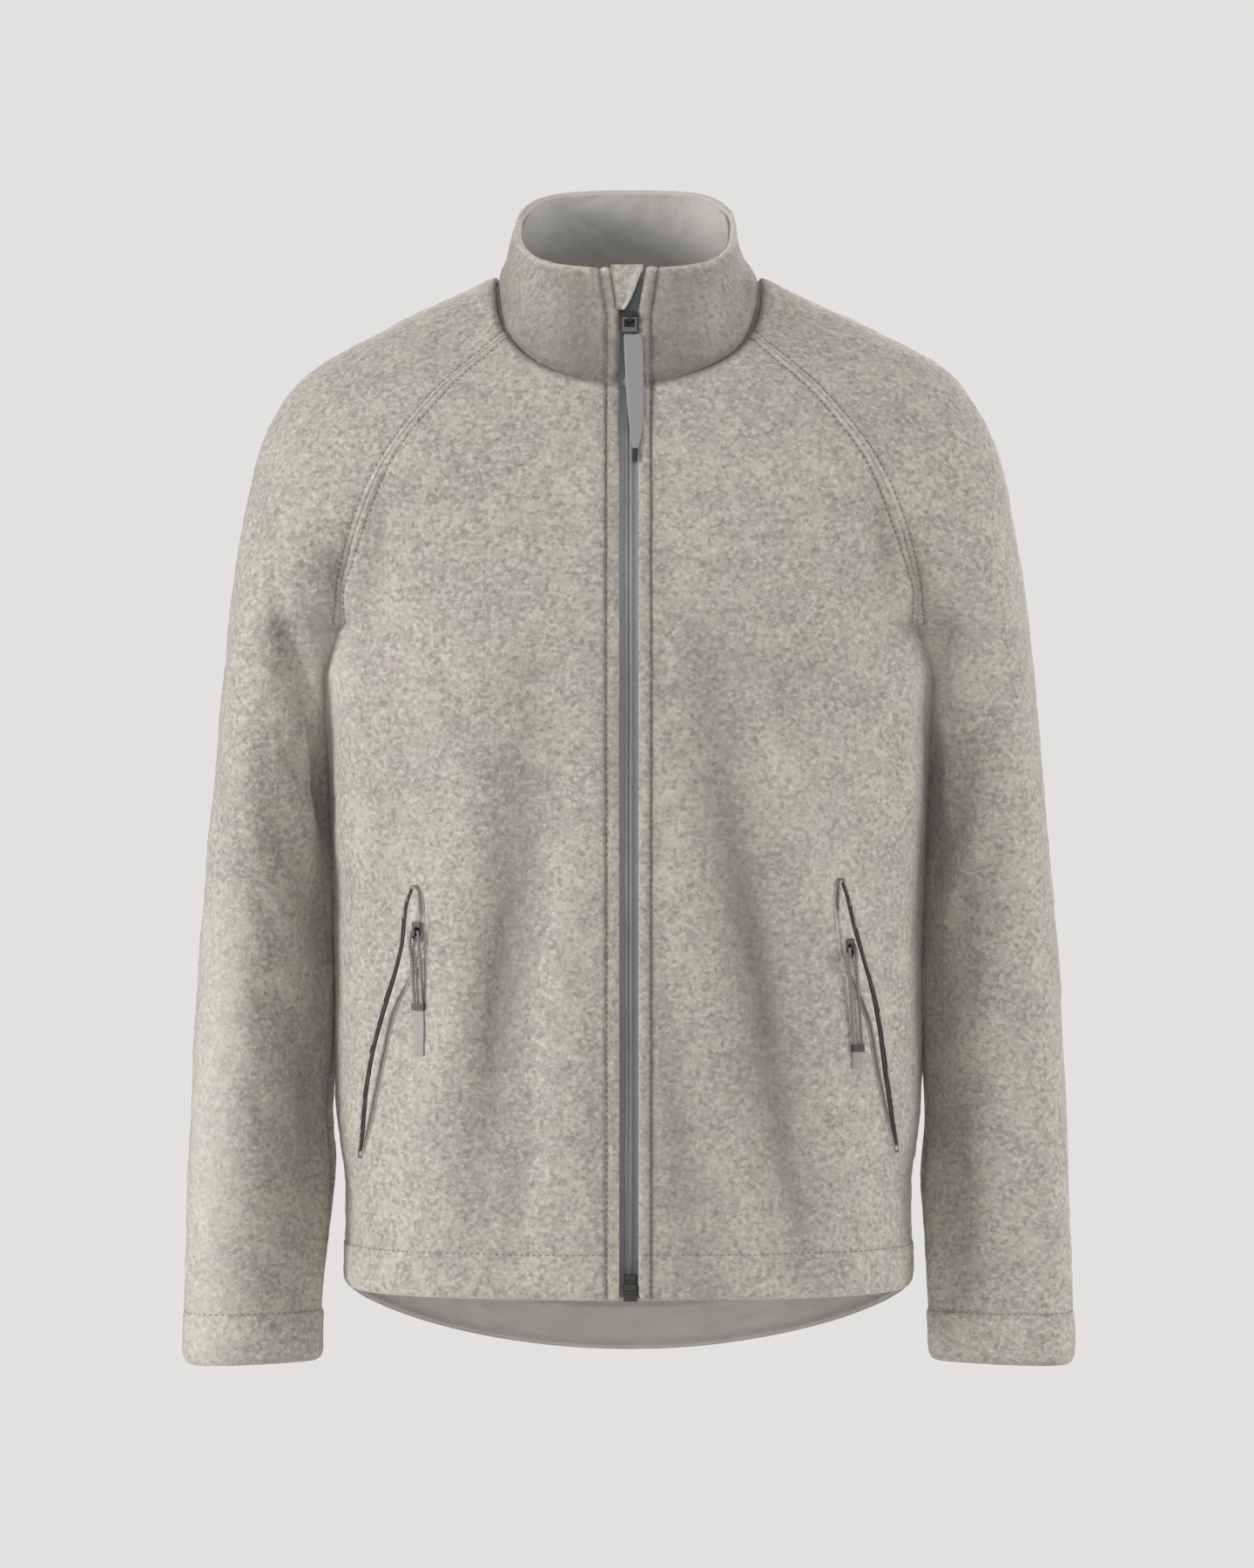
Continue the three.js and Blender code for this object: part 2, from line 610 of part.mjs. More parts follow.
// Hard pieces are joined and cut as solids.
const solids = await Module();
solids.setup();
function solidOf(geometry) {
  const source = geometry.index ? geometry.toNonIndexed() : geometry;
  const position = source.getAttribute("position");
  const [vertices, triangles, seen] = [[], [], new Map()];
  for (let i = 0; i < position.count; i++) {
    const at = [position.getX(i), position.getY(i), position.getZ(i)];
    const key = at.map((n) => Math.round(n * 1e4)).join();
    if (!seen.has(key)) {
      seen.set(key, seen.size);
      vertices.push(...at);
    }
    triangles.push(seen.get(key));
  }
  const faces = [];
  for (let i = 0; i < triangles.length; i += 3) {
    const [a, b, c] = triangles.slice(i, i + 3);
    if (a !== b && b !== c && a !== c) faces.push(a, b, c);
  }
  return new solids.Manifold(
    new solids.Mesh({
      numProp: 3,
      vertProperties: new Float32Array(vertices),
      triVerts: new Uint32Array(faces),
    }),
  );
}
function geometryOf(solid) {
  const mesh = solid.getMesh();
  return new THREE.BufferGeometry()
    .setAttribute("position", new THREE.Float32BufferAttribute(mesh.vertProperties, 3))
    .setIndex([...mesh.triVerts]);
}
const join = (...pieces) => geometryOf(solids.Manifold.union(pieces.map(solidOf)));
const cut = (piece, ...tools) =>
  geometryOf(tools.reduce((left, tool) => left.subtract(solidOf(tool)), solidOf(piece)));
const box = (width, depth, height, x, y, z) => new THREE.BoxGeometry(width, depth, height).translate(x, y, z);
const rodAcross = (radius, length, x, y, z) =>
  new THREE.CylinderGeometry(radius, radius, length, 14).rotateZ(Math.PI / 2).translate(x, y, z);

// A plate with a given outline in the front view, from y = back to y = back - thick.
function plate(outline, back, thick) {
  const shape = new THREE.Shape(outline.map(([x, z]) => new THREE.Vector2(x, z)));
  return new THREE.ExtrudeGeometry(shape, { depth: thick, bevelEnabled: false })
    .rotateX(Math.PI / 2)
    .translate(0, back, 0);
}

// A slider whose pull's axle lies at the origin: its body lies behind the axle and its bridge goes over it.
const AXLE_RADIUS = 0.65;
const AXLE_PLAY = 0.45;
function sliderGeometry(width, height, thick) {
  const [w, h] = [width / 2, height / 2];
  const back = AXLE_RADIUS + AXLE_PLAY + 0.4 + thick;
  const body = [
    [-w * 0.6, -h],
    [w * 0.6, -h],
    [w, -h * 0.2],
    [w, h * 0.8],
    [w * 0.75, h],
    [-w * 0.75, h],
    [-w, h * 0.8],
    [-w, -h * 0.2],
  ];
  const over = AXLE_RADIUS + AXLE_PLAY + 0.9;
  const bridge = box(width * 0.3, over + back - thick + 0.2, 6, 0, (back - thick + 0.2 - over) / 2, 0);
  const arch = join(plate(body, back, thick), bridge);
  return cut(arch, rodAcross(AXLE_RADIUS + AXLE_PLAY, width * 0.6, 0, 0, 0));
}

// The main zip's slider stands at the top of the closed zip.
const SLIDER = { x: 0.5, z: -19.5, width: 10, height: 12.5, thick: 1.8 };
const sliderTilt = Math.atan2(centreY(SLIDER.z + 6) - centreY(SLIDER.z - 6), 12);
const sliderPlace = new THREE.Matrix4()
  .makeRotationX(-sliderTilt)
  .setPosition(SLIDER.x, centreY(SLIDER.z) - 1.3, SLIDER.z);
const slider = sliderGeometry(SLIDER.width, SLIDER.height, SLIDER.thick);
add("zip_slider", slider.applyMatrix4(sliderPlace), darkMetal);

// Its pull: a metal ring on the axle, and a cloth tab that lies down the front.
const RING = { width: 10, drop: 7, bar: 3.4, wire: 1.3 };
function ringGeometry() {
  const arm = (side) => box(RING.wire, RING.wire, RING.drop, (side * (RING.width - RING.wire)) / 2, 0, -RING.drop / 2);
  const lower = box(RING.width, RING.wire, RING.bar, 0, 0, -RING.drop - RING.bar / 2 + 0.2);
  return join(rodAcross(AXLE_RADIUS, RING.width, 0, 0, 0), arm(1), arm(-1), lower);
}
add("zip_pull_ring", ringGeometry().applyMatrix4(sliderPlace), darkMetal);

const TAB = table(
  "z x half thick",
  [-30.5, 2.6, 5.6, 1.2],
  [-33, 2.8, 6.2, 1.7],
  [-46, 3.4, 6.3, 1.7],
  [-60, 3.9, 6.1, 1.7],
  [-72, 4.3, 5.8, 1.7],
  [-86, 4.7, 5.3, 1.7],
  [-98, 5, 4.8, 1.7],
  [-105, 5, 4.1, 1.6],
  [-107.5, 4.6, 2.2, 1.4],
  [-116, 4, 2, 1.4],
  [-117.5, 4, 1.4, 1],
);
const TAB_CLEAR = 0.8;
function tabGeometry() {
  const layer = (front) =>
    TAB.map((row) =>
      [-1, -0.8, 0.8, 1].map((side) => {
        const inset = Math.abs(side) === 1 ? 0.35 : 0;
        const lift = front ? row.thick - inset : inset;
        const ahead = Math.min(centreY(row.z - 4), centreY(row.z), centreY(row.z + 4));
        return vector(row.x + side * row.half, ahead - TAB_CLEAR - lift, row.z);
      }),
    );
  return wallGeometry(layer(true).reverse(), layer(false).reverse());
}
add("zip_pull_tab", tabGeometry(), grip);

// The box that holds the bottom of the zip.
const BOX_OUTLINE = [
  [-3.2, -678.5],
  [5.4, -678.5],
  [5.9, -677.5],
  [5.9, -662],
  [4.6, -660],
  [-2.4, -660],
  [-3.7, -662],
  [-3.7, -677.5],
];
add("zip_box", plate(BOX_OUTLINE, FRONT[0].centreY + 3, 3.4), darkMetal);

// A place on a front's outer face, and how the face is turned there. x is taken on the left side.
function onFront(side, x, z) {
  const grid = FRONT_FACES[side];
  for (let j = 0; j < grid.length - 1; j++)
    for (let i = 0; i < grid[0].length - 1; i++) {
      const [a, b, c, d] = [grid[j][i], grid[j][i + 1], grid[j + 1][i + 1], grid[j + 1][i]];
      const short = a.distanceTo(c) <= b.distanceTo(d);
      for (const [p, q, r] of short ? [[a, b, c], [a, c, d]] : [[a, b, d], [b, c, d]]) {
        const area = (q.x - p.x) * (r.z - p.z) - (r.x - p.x) * (q.z - p.z);
        const s = ((x - p.x) * (r.z - p.z) - (r.x - p.x) * (z - p.z)) / area;
        const t = ((q.x - p.x) * (z - p.z) - (x - p.x) * (q.z - p.z)) / area;
        if (s < -1e-9 || t < -1e-9 || s + t > 1 + 1e-9) continue;
        const normal = q.clone().sub(p).cross(r.clone().sub(p)).normalize();
        return { point: vector(x, p.y + s * (q.y - p.y) + t * (r.y - p.y), z), normal };
      }
    }
  throw new Error("no front at " + x + ", " + z);
}
const lifted = ({ point, normal }, lift) => point.clone().addScaledVector(normal, lift);

// The pocket zips: a band over each slit, with its edges and the slit between them.
const BAND_COLUMNS = table("share lift", [0, 1.4], [0.14, 2.2], [0.26, 1.5], [0.38, 2.1], [0.85, 2.1], [1, 1.4]);
const BAND_CLEAR = 0.9;
function bandGeometry(side, pocket) {
  const heights = pocket.map((row) => ({ at: row.z, ...row }));
  const stations = spread(heights[0].at, heights[heights.length - 1].at, 18).reverse();
  const rising = heights.slice().reverse();
  const layer = (liftOf) =>
    stations.map((z) =>
      BAND_COLUMNS.map((column) => {
        const [outer, inner] = [read(rising, z, "outer"), read(rising, z, "inner")];
        return lifted(onFront(side, inner + (outer - inner) * (1 - column.share), z), liftOf(column));
      }).reverse(),
    );
  return wallGeometry(
    layer((column) => column.lift),
    layer(() => BAND_CLEAR),
  );
}

// A pocket's slider and pull. The pull's two cords and its tab are laid down the front.
const POCKET_SLIDER = { width: 6.5, height: 13, thick: 1.3 };
const AXLE_LIFT = 5.4; // from the front's face to the axle
const bySide = (side, geometry) => (side > 0 ? geometry : mirrored(geometry));

function localFrame(side, x, z) {
  const face = onFront(side, x, z);
  const back = face.normal.clone().negate();
  const across = vector(1, 0, 0).addScaledVector(back, -back.x).normalize();
  const up = across.clone().cross(back);
  return new THREE.Matrix4().makeBasis(across, back, up).setPosition(lifted(face, AXLE_LIFT));
}

function strip(side, rows, thick) {
  const layer = (front) =>
    rows.map(([z, x, half, lift]) =>
      [-1, 1].map((end) => lifted(onFront(side, x + end * half, z), lift + (front ? thick : 0))),
    );
  return wallGeometry(layer(true).reverse(), layer(false).reverse());
}

function pocketPull(side, at) {
  const frame = localFrame(side, at.x, at.z);
  const bar = join(
    rodAcross(AXLE_RADIUS, 6.6, 0, 0, 0),
    box(1.3, 1.3, 5, 2.8, 0, -2.2),
    box(1.3, 1.3, 5, -2.8, 0, -2.2),
  ).applyMatrix4(frame);
  const cord = (offset) =>
    strip(
      side,
      [
        [at.z - 3, at.x + offset, 0.65, 4.5],
        [at.z - 10, at.x + offset, 0.65, 4.3],
        [at.z - 20, at.x + at.sway * 0.3 + offset, 0.65, 2.9],
        [at.beadZ + 1, at.x + at.sway + offset, 0.65, 1.6],
      ],
      1.3,
    );
  const bead = strip(
    side,
    [
      [at.beadZ + 2, at.x + at.sway, 4, 1],
      [at.beadZ - 3, at.x + at.sway, 4, 1],
    ],
    2.2,
  );
  const tail = strip(
    side,
    [
      [at.beadZ - 2, at.x + at.sway, 3.4, 1.2],
      [at.beadZ - 14, at.x + at.sway, 3.4, 1],
      [at.tailZ, at.x + at.sway, 3, 1],
    ],
    1.1,
  );
  return join(bar, cord(-2.8), cord(2.8), bead, tail);
}
const RIGHT_PULL = { x: 141, z: -432, sway: -1, beadZ: -482, tailZ: -515 };
const LEFT_PULL = { x: 147, z: -443, sway: 6, beadZ: -510, tailZ: -519 };
for (const [name, side, pocket, at] of [
  ["left", 1, LEFT_POCKET, LEFT_PULL],
  ["right", -1, RIGHT_POCKET, RIGHT_PULL],
]) {
  add("pocket_zip_" + name, bySide(side, bandGeometry(side, pocket)), tape);
  const slider = sliderGeometry(POCKET_SLIDER.width, POCKET_SLIDER.height, POCKET_SLIDER.thick);
  add("pocket_slider_" + name, bySide(side, slider.applyMatrix4(localFrame(side, at.x, at.z))), darkMetal);
  add("pocket_pull_" + name, bySide(side, pocketPull(side, at)), grip);
}

export default jacket;
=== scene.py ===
"""A fleece jacket with raglan sleeves, a stand collar and a full front zip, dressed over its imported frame."""

import bmesh
import bpy
import numpy as np
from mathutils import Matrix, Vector


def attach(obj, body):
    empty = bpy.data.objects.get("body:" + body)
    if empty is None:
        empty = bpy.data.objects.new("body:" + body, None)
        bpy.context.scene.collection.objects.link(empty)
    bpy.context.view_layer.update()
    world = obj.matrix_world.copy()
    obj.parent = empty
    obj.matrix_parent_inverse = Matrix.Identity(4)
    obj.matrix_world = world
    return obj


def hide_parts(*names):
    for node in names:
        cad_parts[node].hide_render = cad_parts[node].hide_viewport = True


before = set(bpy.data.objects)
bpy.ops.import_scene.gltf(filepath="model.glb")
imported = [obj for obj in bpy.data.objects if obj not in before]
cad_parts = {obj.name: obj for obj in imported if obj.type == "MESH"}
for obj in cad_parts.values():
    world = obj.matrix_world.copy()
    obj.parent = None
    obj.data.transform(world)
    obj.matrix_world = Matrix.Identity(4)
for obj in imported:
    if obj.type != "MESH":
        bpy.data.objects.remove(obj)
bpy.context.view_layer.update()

# The view and the studio. A level camera four metres off looks straight at the front, as in the photograph. Large soft
# lamps at the left and the right model the folds, weaker ones fill them from the front, below and above, one behind
# lights the back and the collar's inside, and the pale backdrop fills the shade.
CAMERA_PLACE = (-0.0012, -4.0, -0.333)
CAMERA_LENS_MM = 133.33
BACKDROP = "#e3e1e0"
FLOOR_HEIGHT = -1.25
FLOOR_RADIUS = 14.0
FLOOR_CORNERS = 64
FLOOR_FADE = (1.0, 2.6)  # from here the floor gives way to the backdrop
SHADE_LIGHT = 0.47  # how brightly the backdrop lights the jacket, against 1 as it looks


def rgba(hex_colour):
    """An sRGB hex colour as the linear values that the shader wants."""
    channel = np.array([int(hex_colour[i : i + 2], 16) for i in (1, 3, 5)]) / 255
    linear = np.where(channel <= 0.04045, channel / 12.92, ((channel + 0.055) / 1.055) ** 2.4)
    return (*linear.tolist(), 1.0)


def node(tree, kind, links=(), **settings):
    """Adds a node. Settings are its properties, or its input sockets where the name starts with in_."""
    made = tree.nodes.new(kind)
    for name, value in settings.items():
        if name.startswith("in_"):
            key = name[3:]
            socket = made.inputs[int(key)] if key.isdigit() else made.inputs[key.replace("_", " ")]
            socket.default_value = value
        else:
            setattr(made, name, value)
    for socket, source in links:
        tree.links.new(made.inputs[socket], source)
    return made


def new_material(name):
    """An empty node material: its tree and the socket that its shader goes to."""
    material = bpy.data.materials.new(name)
    material.use_nodes = True
    material.node_tree.nodes.clear()
    end = material.node_tree.nodes.new("ShaderNodeOutputMaterial")
    return material, material.node_tree, end.inputs["Surface"]


scene = bpy.context.scene
scene.view_settings.view_transform = "Standard"
camera = bpy.data.objects.new("camera", bpy.data.cameras.new("camera"))
camera.location = CAMERA_PLACE
camera.rotation_euler = (np.pi / 2, 0, 0)
camera.data.lens = CAMERA_LENS_MM
camera.data.sensor_width = 36
scene.collection.objects.link(camera)
scene.camera = camera

world = bpy.data.worlds.new("studio")
world.use_nodes = True
tree = world.node_tree
seen = node(tree, "ShaderNodeLightPath").outputs["Is Camera Ray"]
shade = node(tree, "ShaderNodeBackground", in_Color=rgba(BACKDROP), in_Strength=SHADE_LIGHT)
paper = node(tree, "ShaderNodeBackground", in_Color=rgba(BACKDROP), in_Strength=1.0)
both = node(tree, "ShaderNodeMixShader", [(0, seen), (1, shade.outputs[0]), (2, paper.outputs[0])])
tree.links.new(tree.nodes["World Output"].inputs["Surface"], both.outputs[0])
scene.world = world

for name, place, size, watts in [
    ("left_lamp", (-3.8, -1.8, 0.3), 1.3, 127),
    ("right_lamp", (3.8, -0.9, 0.2), 1.6, 78),
    ("front_lamp", (-0.8, -3.9, 1.5), 1.8, 10),
    ("low_lamp", (0.2, -3.4, -1.0), 1.2, 13),
    ("back_lamp", (0.4, 3.4, 1.4), 2.0, 146),
    ("top_lamp", (0.2, -0.9, 3.3), 1.8, 18),
]:
    lamp = bpy.data.objects.new(name, bpy.data.lights.new(name, "AREA"))
    lamp.data.size = size
    lamp.data.energy = watts
    lamp.location = place
    lamp.rotation_euler = (Vector((0, 0, -0.3)) - Vector(place)).to_track_quat("-Z", "Y").to_euler()
    scene.collection.objects.link(lamp)

angle = np.linspace(0, 2 * np.pi, FLOOR_CORNERS + 1)[:-1]
ring = np.stack([FLOOR_RADIUS * np.cos(angle), FLOOR_RADIUS * np.sin(angle), np.full_like(angle, FLOOR_HEIGHT)], -1)
floor_mesh = bpy.data.meshes.new("floor")
floor_mesh.from_pydata(ring.tolist(), [], [list(range(FLOOR_CORNERS))])
floor = bpy.data.objects.new("floor", floor_mesh)
scene.collection.objects.link(floor)
floor_paint, tree, surface = new_material("matt_floor")
place = node(tree, "ShaderNodeTexCoord").outputs["Object"]
flat = node(tree, "ShaderNodeVectorMath", [(0, place)], operation="MULTIPLY", in_1=(1, 1, 0))
away = node(tree, "ShaderNodeVectorMath", [(0, flat.outputs[0])], operation="LENGTH").outputs["Value"]
fade = node(
    tree, "ShaderNodeMapRange", [("Value", away)], interpolation_type="SMOOTHSTEP",
    in_1=FLOOR_FADE[0], in_2=FLOOR_FADE[1],
)
matt = node(tree, "ShaderNodeBsdfDiffuse", in_Color=rgba("#dddbda"))
clear = node(tree, "ShaderNodeBsdfTransparent")
mixed = node(tree, "ShaderNodeMixShader", [(0, fade.outputs[0]), (1, matt.outputs[0]), (2, clear.outputs[0])])
tree.links.new(surface, mixed.outputs[0])
floor_mesh.materials.append(floor_paint)

# The two fronts: melange fleece about 3 mm thick, knitted smooth inside, cut to meet the sleeves in a raglan seam.
# Their zip edges are turned under and stitched down, and the hem is turned up 31 mm. Sizes are in millimetres.
FLEECE = 3.0


def table(columns, *rows):
    """A list of rows with named columns, as one array for each column."""
    return dict(zip(columns.split(), np.array(rows, float).T))


HEM_FLEECE = 5.6
HEM_SWELL = 1.3
BODY_TURN_UP = 31.0
BODY_MM = 452.0  # the side seam's length
ZIP_EDGE = 6.3  # from the centre line to each front's edge
ZIP_STITCH = 8.6  # from that edge to its stitching
LEAN = 3.5  # how much of the gap between body and sleeve each of them fills
RAGLAN_STITCH = 4.2  # from the raglan seam to the stitching on each side of it
UNDERARM = table(
    "at forward",
    [-345, 0],
    [-315, 9],
    [-285, 28],
    [-255, 46],
    [-228, 52],
    [-204, 28],
    [-182, 8],
    [-160, 0],
)
UNDERARM_SPREAD = 118.0  # how far from the seam the underarm draws the cloth forward
ARM_REST_TOP = -222.0  # below here the sleeve rests against the side
SIDES = (("left", 1), ("right", -1))

SIDE_SEAM = table(
    "at x y z",
    [0, 195, 8, -678],
    [0.35, 195, 9, -520],
    [0.7, 195.5, 10, -362],
    [1, 196, 12, -226],
)
FRONT_RAGLAN = table(
    "at x y z",
    [1, 196, 12, -226],
    [1.15, 196, -34, -206],
    [1.3, 190, -66, -180],
    [1.45, 180, -88, -150],
    [1.6, 165, -96, -117],
    [1.8, 130, -85, -70],
    [2, 83.3, -54.4, -26.6],
)
FRONT = table(
    "at centre_y centre_z reach hold turn climb",
    [0, -127, -678, 132, 92, 90, 0],
    [0.35, -130, -520, 132, 92, 90, 0],
    [0.7, -134, -365, 130, 94, 90, 0],
    [1, -133, -224, 125, 98, 90, 0],
    [1.15, -129, -196, 112, 62, 80, 0],
    [1.3, -123, -168, 100, 50, 55, 0],
    [1.45, -117, -141, 90, 45, 32, 0],
    [1.6, -111, -115, 78, 42, 24, 6],
    [1.8, -104, -85, 58, 38, 34, 18],
    [2, -98, -62, 42, 38, 68, 32],
)
# Troughs (a depth over 0) and ridges (under 0), from one point to another in the front view. The first four rows of
# each side lie near the solids' own, and the finer ones below them are this cloth's.
FRONT_FOLDS = table(
    "side x0 z0 x1 z1 width depth",
    [-1, 64, -250, 104, -650, 23, 7.5],
    [-1, 110, -420, 150, -600, 20, -3],
    [-1, 38, -330, 56, -640, 14, -3.5],
    [-1, 178, -235, 168, -110, 12, 5.5],
    [-1, 81, -400, 97, -560, 9, 2.2],
    [-1, 60, -540, 84, -672, 10, 2.6],
    [-1, 150, -280, 168, -420, 14, 2.4],
    [-1, 24, -470, 18, -660, 8, 2],
    [-1, 130, -250, 92, -330, 12, 1.8],
    [-1, 40, -250, 110, -268, 14, 1.4],
    [1, 48, -235, 116, -650, 22, 9],
    [1, 34, -480, 50, -760, 28, 4.5],
    [1, 126, -300, 168, -560, 18, -3],
    [1, 178, -235, 168, -110, 12, 5.5],
    [1, 78, -400, 102, -560, 9, 2.4],
    [1, 96, -540, 122, -668, 9, 2.6],
    [1, 40, -248, 160, -262, 15, 2.2],
    [1, 24, -440, 40, -640, 9, 2.2],
    [1, 96, -250, 120, -330, 10, 1.8],
    [1, 104, -300, 128, -410, 12, -3],
)


def read(rows, name, at):
    """A column's value at each place: cubic pieces whose slopes are the harmonic means of the rises beside each row,
    so that the curve never overshoots a row."""
    x, y = rows["at"], rows[name]
    rise = np.diff(y) / np.diff(x)
    product, total = rise[:-1] * rise[1:], rise[:-1] + rise[1:]
    inner = np.where(product > 0, 2 * product / np.where(product > 0, total, 1), 0)
    slope = np.concatenate([rise[:1], inner, rise[-1:]])
    i = np.clip(np.searchsorted(x, at) - 1, 0, len(x) - 2)
    step = x[i + 1] - x[i]
    t = (at - x[i]) / step
    ease = t * t * (3 - 2 * t)
    bend = step * t * (1 - t) * (slope[i] * (1 - t) - slope[i + 1] * t)
    return y[i] * (1 - ease) + y[i + 1] * ease + bend


def place_of(rows, at):
    """The point that a table gives at each place."""
    return np.stack([read(rows, name, at) for name in "xyz"], -1)


def heading(turn, climb):
    """A direction: out to the side at turn 0, back at 90 and forward at -90, rising by climb, in degrees."""
    turn, climb = np.radians(turn), np.radians(climb)
    return np.stack([np.cos(turn) * np.cos(climb), np.sin(turn) * np.cos(climb), np.sin(climb)], -1)


def curve(a, leave, arrive, b, t):
    """Cubic curves from a to b, which leave along one handle and arrive against the other."""
    s, t = 1 - t[..., None], t[..., None]
    return s**3 * a + 3 * s * s * t * (a + leave) + 3 * s * t * t * (b + arrive) + t**3 * b


def seam_point(raglan, at):
    """The side seam up to the underarm, and the raglan seam above it."""
    side = place_of(SIDE_SEAM, np.minimum(at, 1))
    return np.where((at <= 1)[..., None], side, place_of(raglan, np.maximum(at, 1)))


def panel_point(rows, raglan, u, v, centre_x):
    """Half a panel: from its centre (u 0) a curve runs level, round to its seam (u 1), at every height v."""
    outward = heading(read(rows, "turn", v), read(rows, "climb", v))
    middle = np.stack([np.full_like(v, centre_x), read(rows, "centre_y", v), read(rows, "centre_z", v)], -1)
    leave = (read(rows, "reach", v) - centre_x)[..., None] * np.array([1.0, 0, 0])
    arrive = -read(rows, "hold", v)[..., None] * outward
    return curve(middle, leave, arrive, seam_point(raglan, v), u)


def stations(*stretches):
    """Places along a line: each stretch is its end, and the number of steps to it from the last one."""
    places = [np.array([0.0])]
    for end, steps in stretches:
        places.append(np.linspace(places[-1][-1], end, steps + 1)[1:])
    return np.concatenate(places)


def unit(vectors):
    """The vectors, each made one long."""
    return vectors / np.linalg.norm(vectors, axis=-1, keepdims=True)


def normals(points):
    """The outward normal at each point of a grid: across the columns times up the rows."""
    return unit(np.cross(np.gradient(points, axis=1), np.gradient(points, axis=0)))


def reach_along(points, axis):
    """How far each point of a grid lies from the grid's first and from its last line, along the other axis."""
    steps = np.linalg.norm(np.diff(points, axis=axis), axis=-1)
    first = np.insert(np.cumsum(steps, axis=axis), 0, 0, axis=axis)
    return first, first.max(axis=axis, keepdims=True) - first


def seam_distance(points):
    """The distance of each point of a grid, square to the seam, from the seam at its first and at its last column."""
    across, up = unit(np.gradient(points, axis=1)), unit(np.gradient(points, axis=0))
    square = np.linalg.norm(np.cross(across, up), axis=-1)
    first, last = reach_along(points, 1)
    return first * square[:, :1], last * square[:, -1:]


def fold_depth(folds, side, points):
    """How deep the folds are: a bell across each fold, fading in and out along it."""
    depth = 0
    for i in np.flatnonzero(folds["side"] == side):
        x0, z0, x1, z1, width, deep = (folds[name][i] for name in ("x0", "z0", "x1", "z1", "width", "depth"))
        if abs(x1 - x0) > abs(z1 - z0):
            along = (points[..., 0] - x0) / (x1 - x0)
            aside = points[..., 2] - (z0 + (z1 - z0) * along)
        else:
            along = (points[..., 2] - z0) / (z1 - z0)
            aside = points[..., 0] - (x0 + (x1 - x0) * along)
        fade = np.sin(np.pi * np.clip((along + 0.15) / 1.3, 0, 1)) ** 1.3
        depth = depth + deep * fade * np.exp(-((aside / width) ** 2))
    return depth


def waves(points, length, seed, count=36):
    """Smooth unevenness from -1 to 1: plane waves of about one length, with seeded directions and phases."""
    draw = np.random.default_rng(seed)
    way = unit(draw.normal(size=(3, count)).T).T * (2 * np.pi / length) * draw.uniform(0.7, 1.4, count)
    return np.sin(points @ way + draw.uniform(0, 2 * np.pi, count)).sum(-1) / np.sqrt(count) / 1.6


def bell(distance, middle, width):
    """A bell curve of the distance, one high at its middle."""
    return np.exp(-(((distance - middle) / width) ** 2))


def yoke_share(v):
    """How far each row is past the underarm, from 0 on the side seam to 1 on the raglan seam."""
    return np.clip((v - 0.99) / 0.03, 0, 1)


def raglan_relief(distance):
    """The stitched raglan seam: a ridge over the seam allowance, a line in it, and a groove under the stitches."""
    return 0.9 * bell(distance, 0, 2.8) - 0.5 * bell(distance, 0, 0.7) - 0.6 * bell(distance, RAGLAN_STITCH, 1.2)


def body_seams(v, from_seam, from_neck):
    """The relief of a body panel's seams: the raglan seam, the side seam's groove below it, and the neck's."""
    side_seam = 0.9 * bell(from_seam, 0, 1.2) * (v <= 1)
    return raglan_relief(from_seam) * yoke_share(v) - side_seam - 1.2 * bell(from_neck, 0, 3)


def placket(from_zip):
    """The zip edge: a soft ridge over the turned-under cloth, and a groove under its stitches."""
    return bell(from_zip, 4.2, 3.2) - 1.5 * bell(from_zip, ZIP_STITCH, 1.2)


def turned_edge(distance, turn_up):
    """How far the outer face swells and how thick the cloth is at a distance from a turned-up edge."""
    turned = np.clip((turn_up - distance) / 3 + 0.5, 0, 1)
    swell = HEM_SWELL * turned - 0.6 * bell(distance, turn_up, 1.6) - 2.4 * bell(distance, 0, 4.5)
    return swell, FLEECE + (HEM_FLEECE - FLEECE) * turned


def soft_edge(distance, thick):
    """How much of its thickness the cloth has near a rolled edge: the share that a half circle gives."""
    near = np.clip(distance / (thick * 0.5), 0, 1)
    return np.sqrt(1 - (1 - near) ** 2) * 0.9 + 0.1


def leaning(distance, z, width):
    """How far the body's side and the sleeve's inner line swell towards each other where they touch."""
    down = np.clip((ARM_REST_TOP - z) / 8, 0, 1) * np.clip((z + 575) / 60, 0, 1)
    return LEAN * down * bell(distance, 0, width)


def settled(points, seam_line, seam, outward, hollow):
    """The base surface, settled where side and sleeve rest against each other. The underarm seam comes forward, less
    the further from it, and the side swells outwards there: outward at the seam, fading over a distance, and hollow,
    at a middle and over a width from it, on the front alone. seam is the distance to the side of the seam line."""
    x, y, z = np.moveaxis(points, -1, 0)
    away = np.min([np.linalg.norm(points - line, axis=-1) for line in seam_line], axis=0)
    held = np.clip(z, UNDERARM["at"][0], UNDERARM["at"][-1])
    forward = read(UNDERARM, "forward", held) * np.clip(1 - away / UNDERARM_SPREAD, 0, 1) ** 2
    down = np.clip((ARM_REST_TOP - z) / 40, 0, 1) * np.clip((z + 610) / 60, 0, 1)
    down = down * down * (3 - 2 * down) * (0.6 + 0.4 * np.clip((z + 420) / 90, 0, 1))
    aside = outward[0] * bell(seam, 0, outward[1])
    aside = aside + hollow[0] * bell(seam, hollow[1], hollow[2]) * np.clip((12 - y) / 20, 0, 1)
    return np.stack([x + np.where(x < 0, -1, 1) * aside * down, y - forward, z], -1)


